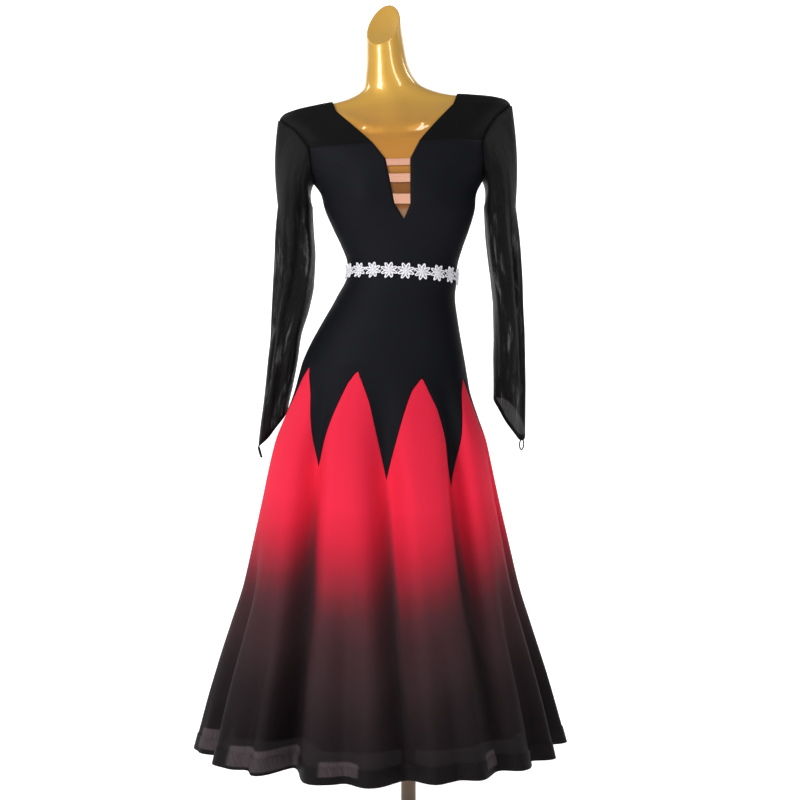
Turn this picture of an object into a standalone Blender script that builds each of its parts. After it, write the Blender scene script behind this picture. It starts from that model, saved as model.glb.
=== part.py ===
"""Ballroom dance dress on a limbless dress form.

Metres, +Z up, front towards -Y. The origin is the middle of the stand's underside, on the
pole's axis. Every cloth piece is a wall cut from one garment surface: a point of that surface
is given by an angle round the body (0 at the front, 90 at +X, 180 at the back) and a height.
"""
import math

import bpy
import bmesh
from mathutils import Vector

# Cloth
WALL = 0.0015            # thickness of every cloth wall
EASE = 0.0020            # air between the form and the cloth
SHOULDER_SHARE = 0.65    # share of that air left where the dress rests on the shoulders
SHOULDER_LEVELS = (1.395, 1.420)
SEAM = 0.0004            # gap between two pieces along a seam
LAP = 0.0004             # gap between a piece and what it lies on
TRIM_LAP = 0.0010        # the same under the waist trim, over the waist's hollow

# Heights of the cut
HEM = 0.216
WAIST = 1.0950
YOKE_SEAM = 1.3303
ARMPIT = 1.272
LINING_TOP = 0.862
LINING_HEM = 0.262
LINING_LAP = 0.0019       # distance inside the skirt at the top edge
LINING_INSET = 0.0130     # more of it lower down
LINING_SOFTNESS = 0.45    # how much wider its valleys are
BRAID_WIDTH = 0.027
BRAID_WALL = 0.0010
FOLDS_START = 0.900      # above this the valleys stand at their top angles
FOLD_TURN = 0.6
ZIGZAG_GAP = 0.0025      # drop of a godet's top edge below the zigzag

# Grid of each piece
LOBE_COLUMNS = 10        # columns of a godet, and of the hip piece above it
GODET_ROWS = 10
HIP_ROWS = 4             # below the hip level
LINING_COLUMNS = 5       # columns a lobe
LINING_ROWS = 5
LINING_PANELS = 4
BODICE_COLUMNS = 22
YOKE_ROWS = 6
YOKE_COLUMNS = 7
SLEEVE_COLUMNS = 18
CAP_ROWS = 4             # sleeve rows between the armhole and the hanging part
SLEEVE_ROWS = 10
FORM_SIDES = 28
NECK_ROWS = 4
POLE_SIDES = 20
BASE_SIDES = 32

# Dress form and stand
POLE_RADIUS = 0.014
BASE_RADIUS = 0.175
BASE_HEIGHT = 0.022
BASE_EDGE = 0.006
FORM_BOTTOM = 0.760
NECK_TOP = 1.614
NECK_CUT_DROP = 0.092    # how much lower the slanted cut is on its low side
NECK_CUT_TURN = -23.0    # the low side's direction, from the front towards -X
NECK_START = 1.490
NECK_REACH = 0.0318      # radius of the neck at its cut

# Waist trim
FLOWERS = 19
FLOWER_START = -0.29     # shift of the row of flowers, as a share of one flower
WAIST_OVAL = 3.0         # degrees that keep the flowers even round the oval waist
PETAL_REACH = 0.0150
PETAL_NOTCH = 0.0128
PETAL_RAISE = 0.0020
EYE_RAISE = 0.0045
TRIM_HEIGHT = 1.0955
TRIM_JOIN = 0.0024       # half height where two flowers meet

# Posture: the form leans, and its shoulders and waist tilt
POSTURE = (
    # z, centre_x, centre_y, tilt in degrees (positive: the +X side is higher)
    (0.000, -0.054, 0.000, 0.0),
    (0.700, -0.054, 0.002, 0.0),
    (0.914, -0.048, 0.004, 0.0),
    (1.047, -0.0240, 0.002, -1.6),
    (1.095, -0.0115, 0.000, -2.6),
    (1.180, -0.0145, -0.002, -1.2),
    (1.260, -0.0190, -0.001, 0.6),
    (1.370, -0.0250, 0.006, 3.6),
    (1.430, -0.0260, 0.008, 3.8),
    (1.480, -0.0383, 0.004, 2.0),
    (1.540, -0.0445, -0.004, 0.0),
    (1.620, -0.0500, -0.010, 0.0),
)

# Dress form, bare
FORM = (
    # z, half_width, front, back, square, cloth_out (how far the cloth stands out sideways)
    (0.760, 0.1300, 0.084, 0.097, 2.0, 0.0),
    (0.800, 0.1430, 0.091, 0.106, 2.0, 0.0),
    (0.860, 0.1525, 0.096, 0.112, 2.0, 0.0),
    (0.914, 0.1530, 0.096, 0.108, 2.0, 0.0),
    (0.952, 0.1430, 0.096, 0.103, 2.0, 0.0010),
    (1.009, 0.1233, 0.091, 0.091, 2.0, 0.0),
    (1.042, 0.1112, 0.085, 0.083, 2.0, 0.0),
    (1.076, 0.1020, 0.081, 0.079, 2.0, 0.0),
    (1.095, 0.0998, 0.0805, 0.0785, 2.0, 0.0),
    (1.115, 0.1015, 0.082, 0.079, 2.0, 0.0),
    (1.148, 0.1120, 0.089, 0.083, 2.0, 0.0),
    (1.180, 0.1253, 0.099, 0.089, 2.1, 0.0),
    (1.218, 0.1389, 0.108, 0.095, 2.2, 0.0),
    (1.250, 0.1440, 0.110, 0.100, 2.2, 0.001),
    (1.272, 0.1470, 0.111, 0.103, 2.2, 0.011),
    (1.296, 0.1620, 0.110, 0.104, 2.3, 0.013),
    (1.330, 0.1850, 0.104, 0.102, 2.3, 0.004),
    (1.360, 0.1950, 0.092, 0.098, 2.3, 0.002),
    (1.385, 0.1985, 0.074, 0.088, 2.2, 0.010),
    (1.400, 0.1960, 0.062, 0.078, 2.1, 0.022),
    (1.4105, 0.1880, 0.054, 0.071, 2.0, 0.024),
    (1.418, 0.1710, 0.050, 0.066, 2.0, 0.0205),
    (1.423, 0.1480, 0.048, 0.062, 2.0, 0.010),
    (1.4275, 0.1200, 0.047, 0.060, 2.0, 0.0),
    (1.433, 0.0965, 0.046, 0.057, 2.0, 0.0),
    (1.441, 0.0735, 0.045, 0.054, 2.0, 0.0),
    (1.452, 0.0555, 0.044, 0.051, 2.0, 0.0),
    (1.468, 0.0465, 0.043, 0.048, 2.0, 0.0),
    (1.500, 0.0387, 0.040, 0.042, 2.0, 0.0),
    (1.537, 0.0350, 0.037, 0.037, 2.0, 0.0),
    (1.575, 0.0322, 0.034, 0.034, 2.0, 0.0),
    (1.620, 0.0296, 0.032, 0.032, 2.0, 0.0),
)
HIP_LEVEL = 0.930        # the cloth leaves the form below this height

# Skirt below the hips, at its ridges
SKIRT = (
    # z, half_width, front, back, fold depth, fold width
    (0.214, 0.3480, 0.346, 0.346, 0.088, 0.035),
    (0.340, 0.3140, 0.311, 0.312, 0.080, 0.034),
    (0.431, 0.2860, 0.280, 0.282, 0.073, 0.032),
    (0.500, 0.2650, 0.257, 0.259, 0.066, 0.031),
    (0.591, 0.2440, 0.228, 0.232, 0.057, 0.029),
    (0.667, 0.2270, 0.203, 0.208, 0.049, 0.027),
    (0.743, 0.2110, 0.175, 0.182, 0.038, 0.025),
    (0.781, 0.2020, 0.158, 0.166, 0.029, 0.024),
    (0.819, 0.1880, 0.140, 0.149, 0.019, 0.023),
    (0.857, 0.1735, 0.123, 0.133, 0.009, 0.022),
    (0.895, 0.1610, 0.108, 0.119, 0.002, 0.021),
)

# Valleys of the skirt. The first eight lie along the godets' seams, in order round the body.
FOLDS = (
    # angle at the top, at the hem, direction it is drawn in from, depth at the top, at the hem,
    # width, height where it starts
    (-87.0, -86.0, -84.0, 0.80, 0.70, 0.90, 0.930),
    (-41.0, -28.0, -12.0, 1.00, 1.00, 0.95, 0.930),
    (-1.2, 9.0, 5.0, 1.00, 0.50, 1.00, 0.930),
    (47.0, 39.0, 22.0, 1.00, 0.36, 0.95, 0.930),
    (90.0, 74.0, 66.0, 0.85, 0.80, 0.90, 0.930),
    (135.0, 122.0, 122.0, 1.00, 0.90, 1.00, 0.930),
    (180.0, 179.0, 179.0, 1.00, 0.80, 1.00, 0.930),
    (225.0, 229.0, 229.0, 1.00, 1.00, 1.00, 0.930),
    (-70.0, -63.0, -60.0, 0.36, 0.36, 0.75, 0.640),
    (-52.0, -43.0, -36.0, 0.24, 0.24, 0.60, 0.560),
    (-18.0, -9.0, -4.0, 0.26, 0.26, 0.75, 0.600),
    (24.0, 24.0, 14.0, 0.20, 0.20, 0.70, 0.520),
    (66.0, 56.0, 46.0, 0.30, 0.30, 0.65, 0.600),
    (112.0, 98.0, 98.0, 0.34, 0.34, 0.75, 0.620),
    (157.0, 150.0, 150.0, 0.38, 0.38, 0.80, 0.600),
    (203.0, 204.0, 204.0, 0.34, 0.34, 0.75, 0.620),
    (248.0, 252.0, 252.0, 0.36, 0.36, 0.75, 0.600),
)
LOBES = 8
VALLEY_SHARE = 0.7       # a valley's distance from the middle, as a share of the half width

# Lower edge of the hip pieces: black points in the valleys, godet tops between them
POINT_HEIGHTS = (0.722, 0.7375, 0.715, 0.699, 0.706, 0.715, 0.722, 0.718)
PEAK_HEIGHTS = (0.921, 0.912, 0.8995, 0.8995, 0.902, 0.905, 0.905, 0.908)
PEAK_PLACES = (0.56, 0.62, 0.585, 0.52, 0.50, 0.50, 0.50, 0.50)  # from one point to the next
HIP_HEIGHTS = (0.926, 0.965, 1.005, 1.042, 1.076)
POINT_CURVE = 1.6        # how sharply a godet's top rounds over
HIP_SEAM_TURN = 0.10     # degrees that a side seam's edge keeps from the seam's line

# Armhole seam from the armpit to the shoulder tip, the same on the front and the back
ARMHOLE = (
    # distance from the body's middle, z
    (0.1590, 1.2720),
    (0.1570, 1.2830),
    (0.1570, 1.3000),
    (0.1590, 1.3303),
    (0.1700, 1.3520),
    (0.1870, 1.3750),
    (0.2050, 1.3920),
    (0.2190, 1.4020),
)
TIP_HEIGHT = 1.4025
SHOULDER_SEAM_TURN = 0.25  # degrees that a shoulder seam's edge keeps from the seam's line
BACK_SEAM_TURN = 0.06      # the same at the back yokes' middle seam

# Front opening: x from the body's middle, z
NECK_AT_SHOULDER = (0.1180, 1.4278)
NECK_AT_YOKE = (0.0440, YOKE_SEAM)
NOTCH_TOP = (0.0225, 1.2960)
NOTCH_LOW = (0.0150, 1.2150)
NOTCH_BOTTOM = (0.0, 1.1880)
FRONT_NECK = (NECK_AT_YOKE, (0.1090, 1.4010), NECK_AT_SHOULDER)
BACK_NECK = ((0.0, 1.3680), (0.0450, 1.3740), (0.0860, 1.3900), (0.1060, 1.4060), NECK_AT_SHOULDER)
NOTCH_LEAN = 0.0060      # the notch stands a little towards +X

# Rows of both bodice pieces; the notch's bottom and top and the armpit are among them
BODICE_DEPTH = 0.12      # rounded, for the gap of the side seams
BODICE_HEIGHTS = (1.1150, 1.1480, NOTCH_BOTTOM[1], NOTCH_LOW[1], 1.2450, ARMPIT, NOTCH_TOP[1])

# Skin-tone bands across the notch
BANDS = (
    # lower z, upper z
    (1.2835, 1.2955),
    (1.2530, 1.2685),
    (1.2145, 1.2320),
)

# Sleeves: outer and inner edge as distances from the body's middle line at x = SLEEVE_MIDDLE
SLEEVE_MIDDLE = -0.0255
SLEEVES = {
    "left": (
        # z, outer, inner, half depth, middle y
        (1.2250, 0.2220, 0.1560, 0.052, 0.004),
        (1.1800, 0.2240, 0.1540, 0.050, 0.003),
        (1.1300, 0.2255, 0.1500, 0.047, 0.002),
        (1.0800, 0.2282, 0.1515, 0.044, 0.001),
        (1.0300, 0.2307, 0.1610, 0.042, 0.000),
        (0.9800, 0.2335, 0.1765, 0.038, 0.002),
        (0.9300, 0.2415, 0.1850, 0.034, 0.015),
        (0.8850, 0.2482, 0.1955, 0.030, 0.035),
        (0.8400, 0.2535, 0.2065, 0.027, 0.053),
        (0.7700, 0.2612, 0.2130, 0.023, 0.064),
    ),
    "right": (
        (1.2250, 0.2290, 0.1680, 0.052, 0.004),
        (1.1800, 0.2320, 0.1710, 0.050, 0.003),
        (1.1300, 0.2355, 0.1760, 0.047, 0.001),
        (1.0800, 0.2385, 0.1820, 0.044, -0.002),
        (1.0300, 0.2400, 0.1860, 0.042, -0.005),
        (0.9800, 0.2430, 0.1860, 0.040, -0.008),
        (0.9300, 0.2450, 0.1845, 0.038, -0.010),
        (0.8850, 0.2460, 0.1850, 0.036, -0.012),
    ),
}
CUFFS = {
    # z opposite the point, z at the point, shift of the point outwards, its turn to the front,
    # sharpness of the point
    "left": (0.843, 0.764, 0.0045, 10.0, 0.85),
    "right": (0.862, 0.781, 0.0, 38.0, 1.50),
}
CUFF_START = 0.90
SLEEVE_FOLDS = (
    # waves round the sleeve, height of the waves, turn in degrees for each metre down
    (3, 0.0050, 160.0),
    (5, 0.0032, -210.0),
)
WAVES_START = 1.26
WAVE_SIDE_SHARE = 0.35   # the waves are lower towards the body and away from it
SLEEVE_LIFT = 0.0022     # how far the sleeve head's seam lies outside the bodice's
CAP_RAISE = 0.006        # how far the sleeve head bulges outwards
CAP_SPREAD = 0.12        # the same to the front and back, as a share
LOOP_LENGTH = 0.016
LOOP_HALF_WIDTH = 0.0034
LOOP_THICK = 0.0009

# Bust
BUST_HEIGHT = 1.222
BUST_SPREAD = 0.070
BUST_RAISE = 0.013
FORM_BUST_RAISE = 0.009  # the cloth spans the form's bust
BUST_WIDE = 0.042
BUST_TALL = 0.045

# Finish of each kind of piece: colour, roughness, metallic
FINISHES = {
    "jersey": ((0.014, 0.014, 0.017), 0.72, 0.0),
    "mesh": ((0.022, 0.021, 0.022), 0.80, 0.0),
    "godet": ((0.62, 0.020, 0.055), 0.62, 0.0),
    "lining": ((0.012, 0.009, 0.011), 0.75, 0.0),
    "braid": ((0.016, 0.012, 0.014), 0.60, 0.0),
    "flowers": ((0.84, 0.83, 0.88), 0.70, 0.0),
    "bands": ((0.75, 0.45, 0.32), 0.65, 0.0),
    "gold": ((0.90, 0.56, 0.20), 0.16, 1.0),
    "bronze": ((0.11, 0.075, 0.052), 0.35, 1.0),
}


def table_value(table, column, z):
    """A column of a table at height z, as a smooth curve that never overshoots its rows."""
    last = len(table) - 1
    if z <= table[0][0]:
        return table[0][column]
    if z >= table[last][0]:
        return table[last][column]
    row = next(i for i in range(last) if z <= table[i + 1][0])

    def slope(i):
        return (table[i + 1][column] - table[i][column]) / (table[i + 1][0] - table[i][0])

    def tangent(i):
        if i in (0, last):
            return slope(min(i, last - 1))
        before, after = slope(i - 1), slope(i)
        if before * after <= 0.0:
            return 0.0
        return 2.0 * before * after / (before + after)

    step = table[row + 1][0] - table[row][0]
    t = (z - table[row][0]) / step
    rise = t * t * (3.0 - 2.0 * t)
    start = t * (1.0 - t) * (1.0 - t) * step * tangent(row)
    end = -t * t * (1.0 - t) * step * tangent(row + 1)
    return table[row][column] * (1.0 - rise) + table[row + 1][column] * rise + start + end


def blend(a, b, t):
    return a + (b - a) * t


def fade(low, high, x):
    """0 below low, 1 above high, smooth between."""
    t = min(1.0, max(0.0, (x - low) / (high - low)))
    return t * t * (3.0 - 2.0 * t)


def signed_power(x, power):
    return math.copysign(abs(x) ** power, x)


# The garment's own rows: the skirt, then the form's rows with the cloth's sideways spread
CLOTH = tuple(row[:4] + (2.0,) for row in SKIRT) + tuple(
    (z, half + out, front, back, square)
    for z, half, front, back, square, out in FORM if z > HIP_LEVEL
)


def section_point(table, angle, z, bust=BUST_RAISE):
    """Point of the form (table FORM) or of the garment (table CLOTH), without folds."""
    half = table_value(table, 1, z)
    front = table_value(table, 2, z)
    back = table_value(table, 3, z)
    power = 2.0 / table_value(table, 4, z)
    side = math.sin(math.radians(angle))
    ahead = math.cos(math.radians(angle))
    x = half * signed_power(side, power)
    y = -signed_power(ahead, power) * (front if ahead > 0.0 else back)
    if ahead > 0.0:
        across = (abs(x) - BUST_SPREAD) / BUST_WIDE
        up = (z - BUST_HEIGHT) / BUST_TALL
        y -= bust * math.exp(-across * across - up * up) * min(1.0, 3.0 * ahead)
    return Vector((x, y, z))


def fold_angle(fold, z):
    """Angle of a valley at height z: it turns from its top to its hem angle, mostly high up."""
    t = min(1.0, max(0.0, (FOLDS_START - z) / (FOLDS_START - HEM)))
    return blend(fold[0], fold[1], t ** FOLD_TURN)


def pull_folds(point, angle, z, softness=1.0):
    """Draw the skirt in along its valleys."""
    depth = table_value(SKIRT, 4, z) * (1.0 - fade(SKIRT[-1][0], HIP_LEVEL, z))
    if depth < 0.0001:
        return point
    radius = point.xy.length
    width = table_value(SKIRT, 5, z) * softness
    for fold in FOLDS:
        away = (angle - fold_angle(fold, z) + 180.0) % 360.0 - 180.0
        reach = math.radians(away) * radius / (width * fold[5])
        if abs(reach) > 3.2:
            continue
        start = fade(0.0, 0.22, fold[6] - z) if fold[6] < FOLDS_START else 1.0
        share = blend(fold[4], fold[3], fade(HEM, POINT_HEIGHTS[0], z))
        draw = depth * share * start * math.exp(-reach * reach)
        turn = math.radians(fold[2] + (fold_angle(fold, z) - fold[1]))
        point = point - draw * Vector((math.sin(turn), -math.cos(turn), 0.0))
    return point


def settle(point, z):
    """Apply the posture: the section's place and tilt."""
    lean = math.tan(math.radians(table_value(POSTURE, 3, z)))
    return Vector((
        point.x + table_value(POSTURE, 1, z),
        point.y + table_value(POSTURE, 2, z),
        point.z + point.x * lean,
    ))


def form_point(angle, z):
    return settle(section_point(FORM, angle, z, FORM_BUST_RAISE), z)


def cloth_base(angle, z):
    return settle(pull_folds(section_point(CLOTH, angle, z), angle, z), z)


def lining_base(angle, z):
    """The underskirt hangs inside the skirt, with softer valleys."""
    loose = fade(LINING_TOP - 0.004, LINING_TOP - 0.110, z)
    point = section_point(CLOTH, angle, z)
    flat = Vector((point.x, point.y, 0.0))
    point = point - flat.normalized() * (LINING_LAP + LINING_INSET * loose)
    return settle(pull_folds(point, angle, z, 1.0 + LINING_SOFTNESS * loose), z)


def outward(surface, angle, z):
    """Normal of a surface function, pointing away from the body."""
    small_turn, small_rise = 0.05, 0.0001
    across = surface(angle + small_turn, z) - surface(angle - small_turn, z)
    up = surface(angle, z + small_rise) - surface(angle, z - small_rise)
    return across.cross(up).normalized()


def cloth_pair(angle, z, lift=0.0, wall=WALL, surface=cloth_base):
    """Outer and inner point of a wall on the garment surface, eased off the form above the hips."""
    base = surface(angle, z)
    normal = outward(surface, angle, z)
    rest = blend(1.0, SHOULDER_SHARE, fade(*SHOULDER_LEVELS, z))
    inside = EASE * fade(LINING_TOP, HIP_LEVEL, z) * rest + lift
    return base + normal * (inside + wall), base + normal * inside


def angle_at(x, z):
    """Angle of the front surface at distance x from the body's middle."""
    ratio = min(1.0, abs(x) / table_value(CLOTH, 1, z))
    turn = math.degrees(math.asin(ratio ** (table_value(CLOTH, 4, z) / 2.0)))
    return math.copysign(turn, x)


def height_at_width(half):
    """Height on the shoulder where the garment's half width has come down to half."""
    low, high = TIP_HEIGHT, CLOTH[-1][0]
    for _ in range(40):
        middle = (low + high) / 2.0
        if table_value(CLOTH, 1, middle) > half:
            low = middle
        else:
            high = middle
    return (low + high) / 2.0


def finish_material(name):
    colour, roughness, metallic = FINISHES[name]
    material = bpy.data.materials.get(name)
    if material is None:
        material = bpy.data.materials.new(name)
        material.use_nodes = True
        shader = material.node_tree.nodes["Principled BSDF"]
        shader.inputs["Base Color"].default_value = colour + (1.0,)
        shader.inputs["Roughness"].default_value = roughness
        shader.inputs["Metallic"].default_value = metallic
    return material


def add_object(name, points, faces, finish):
    """Mesh object from points and faces, with its faces turned outwards."""
    mesh = bpy.data.meshes.new(name)
    mesh.from_pydata([tuple(point) for point in points], [], faces)
    shape = bmesh.new()
    shape.from_mesh(mesh)
    bmesh.ops.remove_doubles(shape, verts=shape.verts, dist=0.000001)
    bmesh.ops.recalc_face_normals(shape, faces=shape.faces)
    shape.to_mesh(mesh)
    shape.free()
    mesh.shade_smooth()
    mesh.materials.append(finish_material(finish))
    piece = bpy.data.objects.new(name, mesh)
    bpy.context.scene.collection.objects.link(piece)
    return piece


def shell(name, grid, finish, closed=False, slit=None):
    """Closed wall from a grid of (outer, inner) points: rows of columns.

    With closed set, the last column joins the first. Both skins are split along the same
    diagonals, so they never cross. A slit (column, row) opens the wall between that column and
    the next from that row up; below it the two columns are one.
    """
    rows, columns = len(grid), len(grid[0])
    points = [pair[0] for row in grid for pair in row] + [pair[1] for row in grid for pair in row]
    inner = rows * columns
    faces = []

    def at(row, column):
        return row * columns + column % columns

    spans = [j for j in range(columns if closed else columns - 1) if not slit or j != slit[0]]
    for i in range(rows - 1):
        for j in spans:
            a, b = at(i, j), at(i, j + 1)
            c, d = at(i + 1, j + 1), at(i + 1, j)
            faces += [(a, b, c), (a, c, d)]
            faces += [(inner + a, inner + c, inner + b), (inner + a, inner + d, inner + c)]
    rim = [(at(0, j + 1), at(0, j)) for j in spans]
    rim += [(at(rows - 1, j), at(rows - 1, j + 1)) for j in spans]
    if slit:
        rim += [(at(i + 1, slit[0]), at(i, slit[0])) for i in range(slit[1], rows - 1)]
        rim += [(at(i, slit[0] + 1), at(i + 1, slit[0] + 1)) for i in range(slit[1], rows - 1)]
    if not closed:
        rim += [(at(i, 0), at(i + 1, 0)) for i in range(rows - 1)]
        rim += [(at(i + 1, columns - 1), at(i, columns - 1)) for i in range(rows - 1)]
    for a, b in rim:
        faces += [(a, b, inner + b), (a, inner + b, inner + a)]
    return add_object(name, points, faces, finish)


def loft(name, rings, finish):
    """Closed solid through rings, with flat ends."""
    sides = len(rings[0])
    points = [point for ring in rings for point in ring]
    faces = []
    for i in range(len(rings) - 1):
        for j in range(sides):
            a, b = i * sides + j, i * sides + (j + 1) % sides
            faces += [(a, b, b + sides), (a, b + sides, a + sides)]
    faces.append(tuple(range(sides)))
    faces.append(tuple(len(points) - 1 - j for j in range(sides)))
    return add_object(name, points, faces, finish)


# Dress form and stand
def neck_cut(point):
    """Keep a point of the neck under the slanted cut."""
    turn = math.radians(NECK_CUT_TURN)
    low_side = Vector((math.sin(turn), -math.cos(turn)))
    middle = Vector((table_value(POSTURE, 1, NECK_TOP), table_value(POSTURE, 2, NECK_TOP)))
    along = (point.xy - middle).dot(low_side) / NECK_REACH
    top = NECK_TOP - NECK_CUT_DROP * (0.5 + 0.5 * along)
    return Vector((point.x, point.y, min(point.z, top)))


def make_form():
    heights = [row[0] for row in FORM if row[0] < NECK_START]
    rings = [
        [form_point(360.0 * j / FORM_SIDES, z) for j in range(FORM_SIDES)] for z in heights
    ]
    # The neck's rings run up to the cut, so each column ends on the slanted face
    for i in range(NECK_ROWS + 1):
        ring = []
        for j in range(FORM_SIDES):
            foot = form_point(360.0 * j / FORM_SIDES, NECK_START)
            head = neck_cut(form_point(360.0 * j / FORM_SIDES, NECK_TOP))
            height = blend(foot.z, head.z, i / NECK_ROWS)
            point = form_point(360.0 * j / FORM_SIDES, height)
            ring.append(Vector((point.x, point.y, height)))
        rings.append(ring)
    loft("dress_form", rings, "gold")


def round_rings(profile, sides):
    return [
        [
            Vector((radius * math.cos(math.tau * j / sides), radius * math.sin(math.tau * j / sides), z))
            for j in range(sides)
        ]
        for radius, z in profile
    ]


def make_stand():
    base = (
        (BASE_RADIUS, 0.0),
        (BASE_RADIUS, BASE_HEIGHT - BASE_EDGE),
        (BASE_RADIUS - BASE_EDGE * 0.4, BASE_HEIGHT - BASE_EDGE * 0.3),
        (BASE_RADIUS - BASE_EDGE * 1.6, BASE_HEIGHT),
    )
    loft("stand_base", round_rings(base, BASE_SIDES), "bronze")
    pole = (
        (POLE_RADIUS, BASE_HEIGHT + SEAM),
        (POLE_RADIUS, FORM_BOTTOM - SEAM),
    )
    loft("stand_pole", round_rings(pole, POLE_SIDES), "bronze")


# Bodice
def chain_value(points, z):
    """x along a chain of (x, z) points at height z."""
    for (x0, z0), (x1, z1) in zip(points, points[1:]):
        if z <= z1:
            return blend(x0, x1, max(0.0, (z - z0) / (z1 - z0)))
    return points[-1][0]


def notch_middle(z):
    """The notch leans from the middle at the yoke seam towards +X at its bottom."""
    return NOTCH_LEAN * (YOKE_SEAM - z) / (YOKE_SEAM - NOTCH_BOTTOM[1])


def notch_half(z):
    if z <= NOTCH_BOTTOM[1]:
        return 0.0
    return chain_value((NOTCH_BOTTOM, NOTCH_LOW, NOTCH_TOP, NECK_AT_YOKE), z)


def side_angle(z):
    """Angle of the bodice's side edge: the side seam, then the armhole."""
    if z <= ARMPIT:
        return 90.0 - math.degrees(SEAM / 2.0 / BODICE_DEPTH)
    return angle_at(chain_value(ARMHOLE, z), z)


def make_bodice():
    heights = (WAIST + SEAM / 2,) + BODICE_HEIGHTS + (YOKE_SEAM,)
    half = BODICE_COLUMNS // 2
    front, back = [], []
    for z in heights:
        side = side_angle(z)
        row = []
        for turned in (-1.0, 1.0):
            edge = angle_at(notch_middle(z) + turned * notch_half(z), z)
            pairs = [cloth_pair(blend(turned * side, edge, j / half), z) for j in range(half + 1)]
            row += pairs[::int(-turned)]
        front.append(row)
        back.append([
            cloth_pair(180.0 - side + 2.0 * side * j / BODICE_COLUMNS, z) for j in range(BODICE_COLUMNS + 1)
        ])
    shell("bodice_front", front, "jersey", slit=(half, heights.index(NOTCH_BOTTOM[1])))
    shell("bodice_back", back, "jersey")


def make_bands():
    """Three elastic bands that span the notch edge to edge."""
    names = ("upper", "middle", "lower")
    for name, heights in zip(names, BANDS):
        grid = []
        for z in heights:
            edge = notch_half(z) - 2.0 * SEAM
            grid.append([
                cloth_pair(angle_at(notch_middle(z) + edge * share, z), z)
                for share in (-1.0, -0.33, 0.33, 1.0)
            ])
        shell("neck_band_" + name, grid, "bands")


# Yokes
def make_yoke(name, side, neck, back=False):
    """Mesh yoke from the yoke seam to the shoulder seam, between the armhole and the neckline."""
    arm = [row for row in ARMHOLE if row[1] >= YOKE_SEAM]
    grid = []
    for i in range(YOKE_ROWS + 1):
        rise = 1.0 - (1.0 - i / YOKE_ROWS) ** 2
        row = []
        for j in range(YOKE_COLUMNS + 1):
            u = j / YOKE_COLUMNS
            z_top = height_at_width(blend(arm[-1][0], neck[-1][0], u))
            z = blend(YOKE_SEAM + SEAM, z_top, rise)
            angle = angle_at(blend(chain_value(arm, z), chain_value(neck, z), u), z)
            if i == YOKE_ROWS:
                angle = 90.0
            angle = min(angle, 90.0 - SHOULDER_SEAM_TURN)
            if back:
                angle = min(180.0 - angle, 180.0 - BACK_SEAM_TURN)
            row.append(cloth_pair(side * angle, z))
        grid.append(row)
    shell(name, grid, "mesh")


def make_yokes():
    for name, side in (("left", -1.0), ("right", 1.0)):
        make_yoke("yoke_front_" + name, side, FRONT_NECK)
        make_yoke("yoke_back_" + name, side, BACK_NECK, back=True)


# Hips and skirt
def seam_angle(index, z):
    turns, place = divmod(index, LOBES)
    return fold_angle(FOLDS[place], z) + 360.0 * turns


def lobe_angle(q, z):
    """Angle at place q round the skirt: whole numbers are valleys, halves are ridges."""
    index = math.floor(q)
    return blend(seam_angle(index, z), seam_angle(index + 1, z), q - index)


def seam_inset(z):
    """Turn that takes a panel's edge half a seam back. A valley's bottom is nearer the middle."""
    return math.degrees(SEAM / 2.0 / (table_value(SKIRT, 1, z) * VALLEY_SHARE))


def zigzag(q):
    """Height of the seam between the hip piece and the godets."""
    index = math.floor(q)
    place = PEAK_PLACES[index % LOBES]
    past = q - index > place
    t = (q - index - place) / (1.0 - place) if past else 1.0 - (q - index) / place
    point = POINT_HEIGHTS[(index + past) % LOBES]
    peak = PEAK_HEIGHTS[index % LOBES]
    return blend(peak, point, t ** POINT_CURVE)


def make_hips():
    for name, start in (("hip_front", 0), ("hip_back", LOBES // 2)):
        steps = LOBE_COLUMNS * LOBES // 2
        places = [start + j / LOBE_COLUMNS for j in range(steps + 1)]
        grid = []
        for i in range(HIP_ROWS + len(HIP_HEIGHTS) + 1):
            row = []
            for j, q in enumerate(places):
                if i <= HIP_ROWS:
                    z = blend(zigzag(q), HIP_HEIGHTS[0], i / HIP_ROWS)
                else:
                    z = (HIP_HEIGHTS + (WAIST - SEAM / 2,))[i - HIP_ROWS]
                shift = HIP_SEAM_TURN * ((j == 0) - (j == steps))
                row.append(cloth_pair(lobe_angle(q, z) + shift, z))
            grid.append(row)
        shell(name, grid, "jersey")


def make_godets():
    for index in range(LOBES):
        grid = []
        for i in range(GODET_ROWS + 1):
            row = []
            for j in range(LOBE_COLUMNS + 1):
                q = index + j / LOBE_COLUMNS
                top = zigzag(q) - ZIGZAG_GAP
                z = HEM if i == 0 else blend(HEM + BRAID_WIDTH, top, (i - 1) / (GODET_ROWS - 1))
                angle = lobe_angle(q, z)
                if j == 0:
                    angle += seam_inset(z)
                if j == LOBE_COLUMNS:
                    angle -= seam_inset(z)
                row.append(cloth_pair(angle, z))
            grid.append(row)
        shell("godet_%d" % (index + 1), grid, "godet")


def make_hem_braid():
    grid = []
    for z in (HEM, HEM + BRAID_WIDTH):
        row = []
        for j in range(LOBES * LOBE_COLUMNS):
            row.append(cloth_pair(lobe_angle(j / LOBE_COLUMNS, z), z, WALL + LAP, BRAID_WALL))
        grid.append(row)
    shell("hem_braid", grid, "braid", closed=True)


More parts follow.
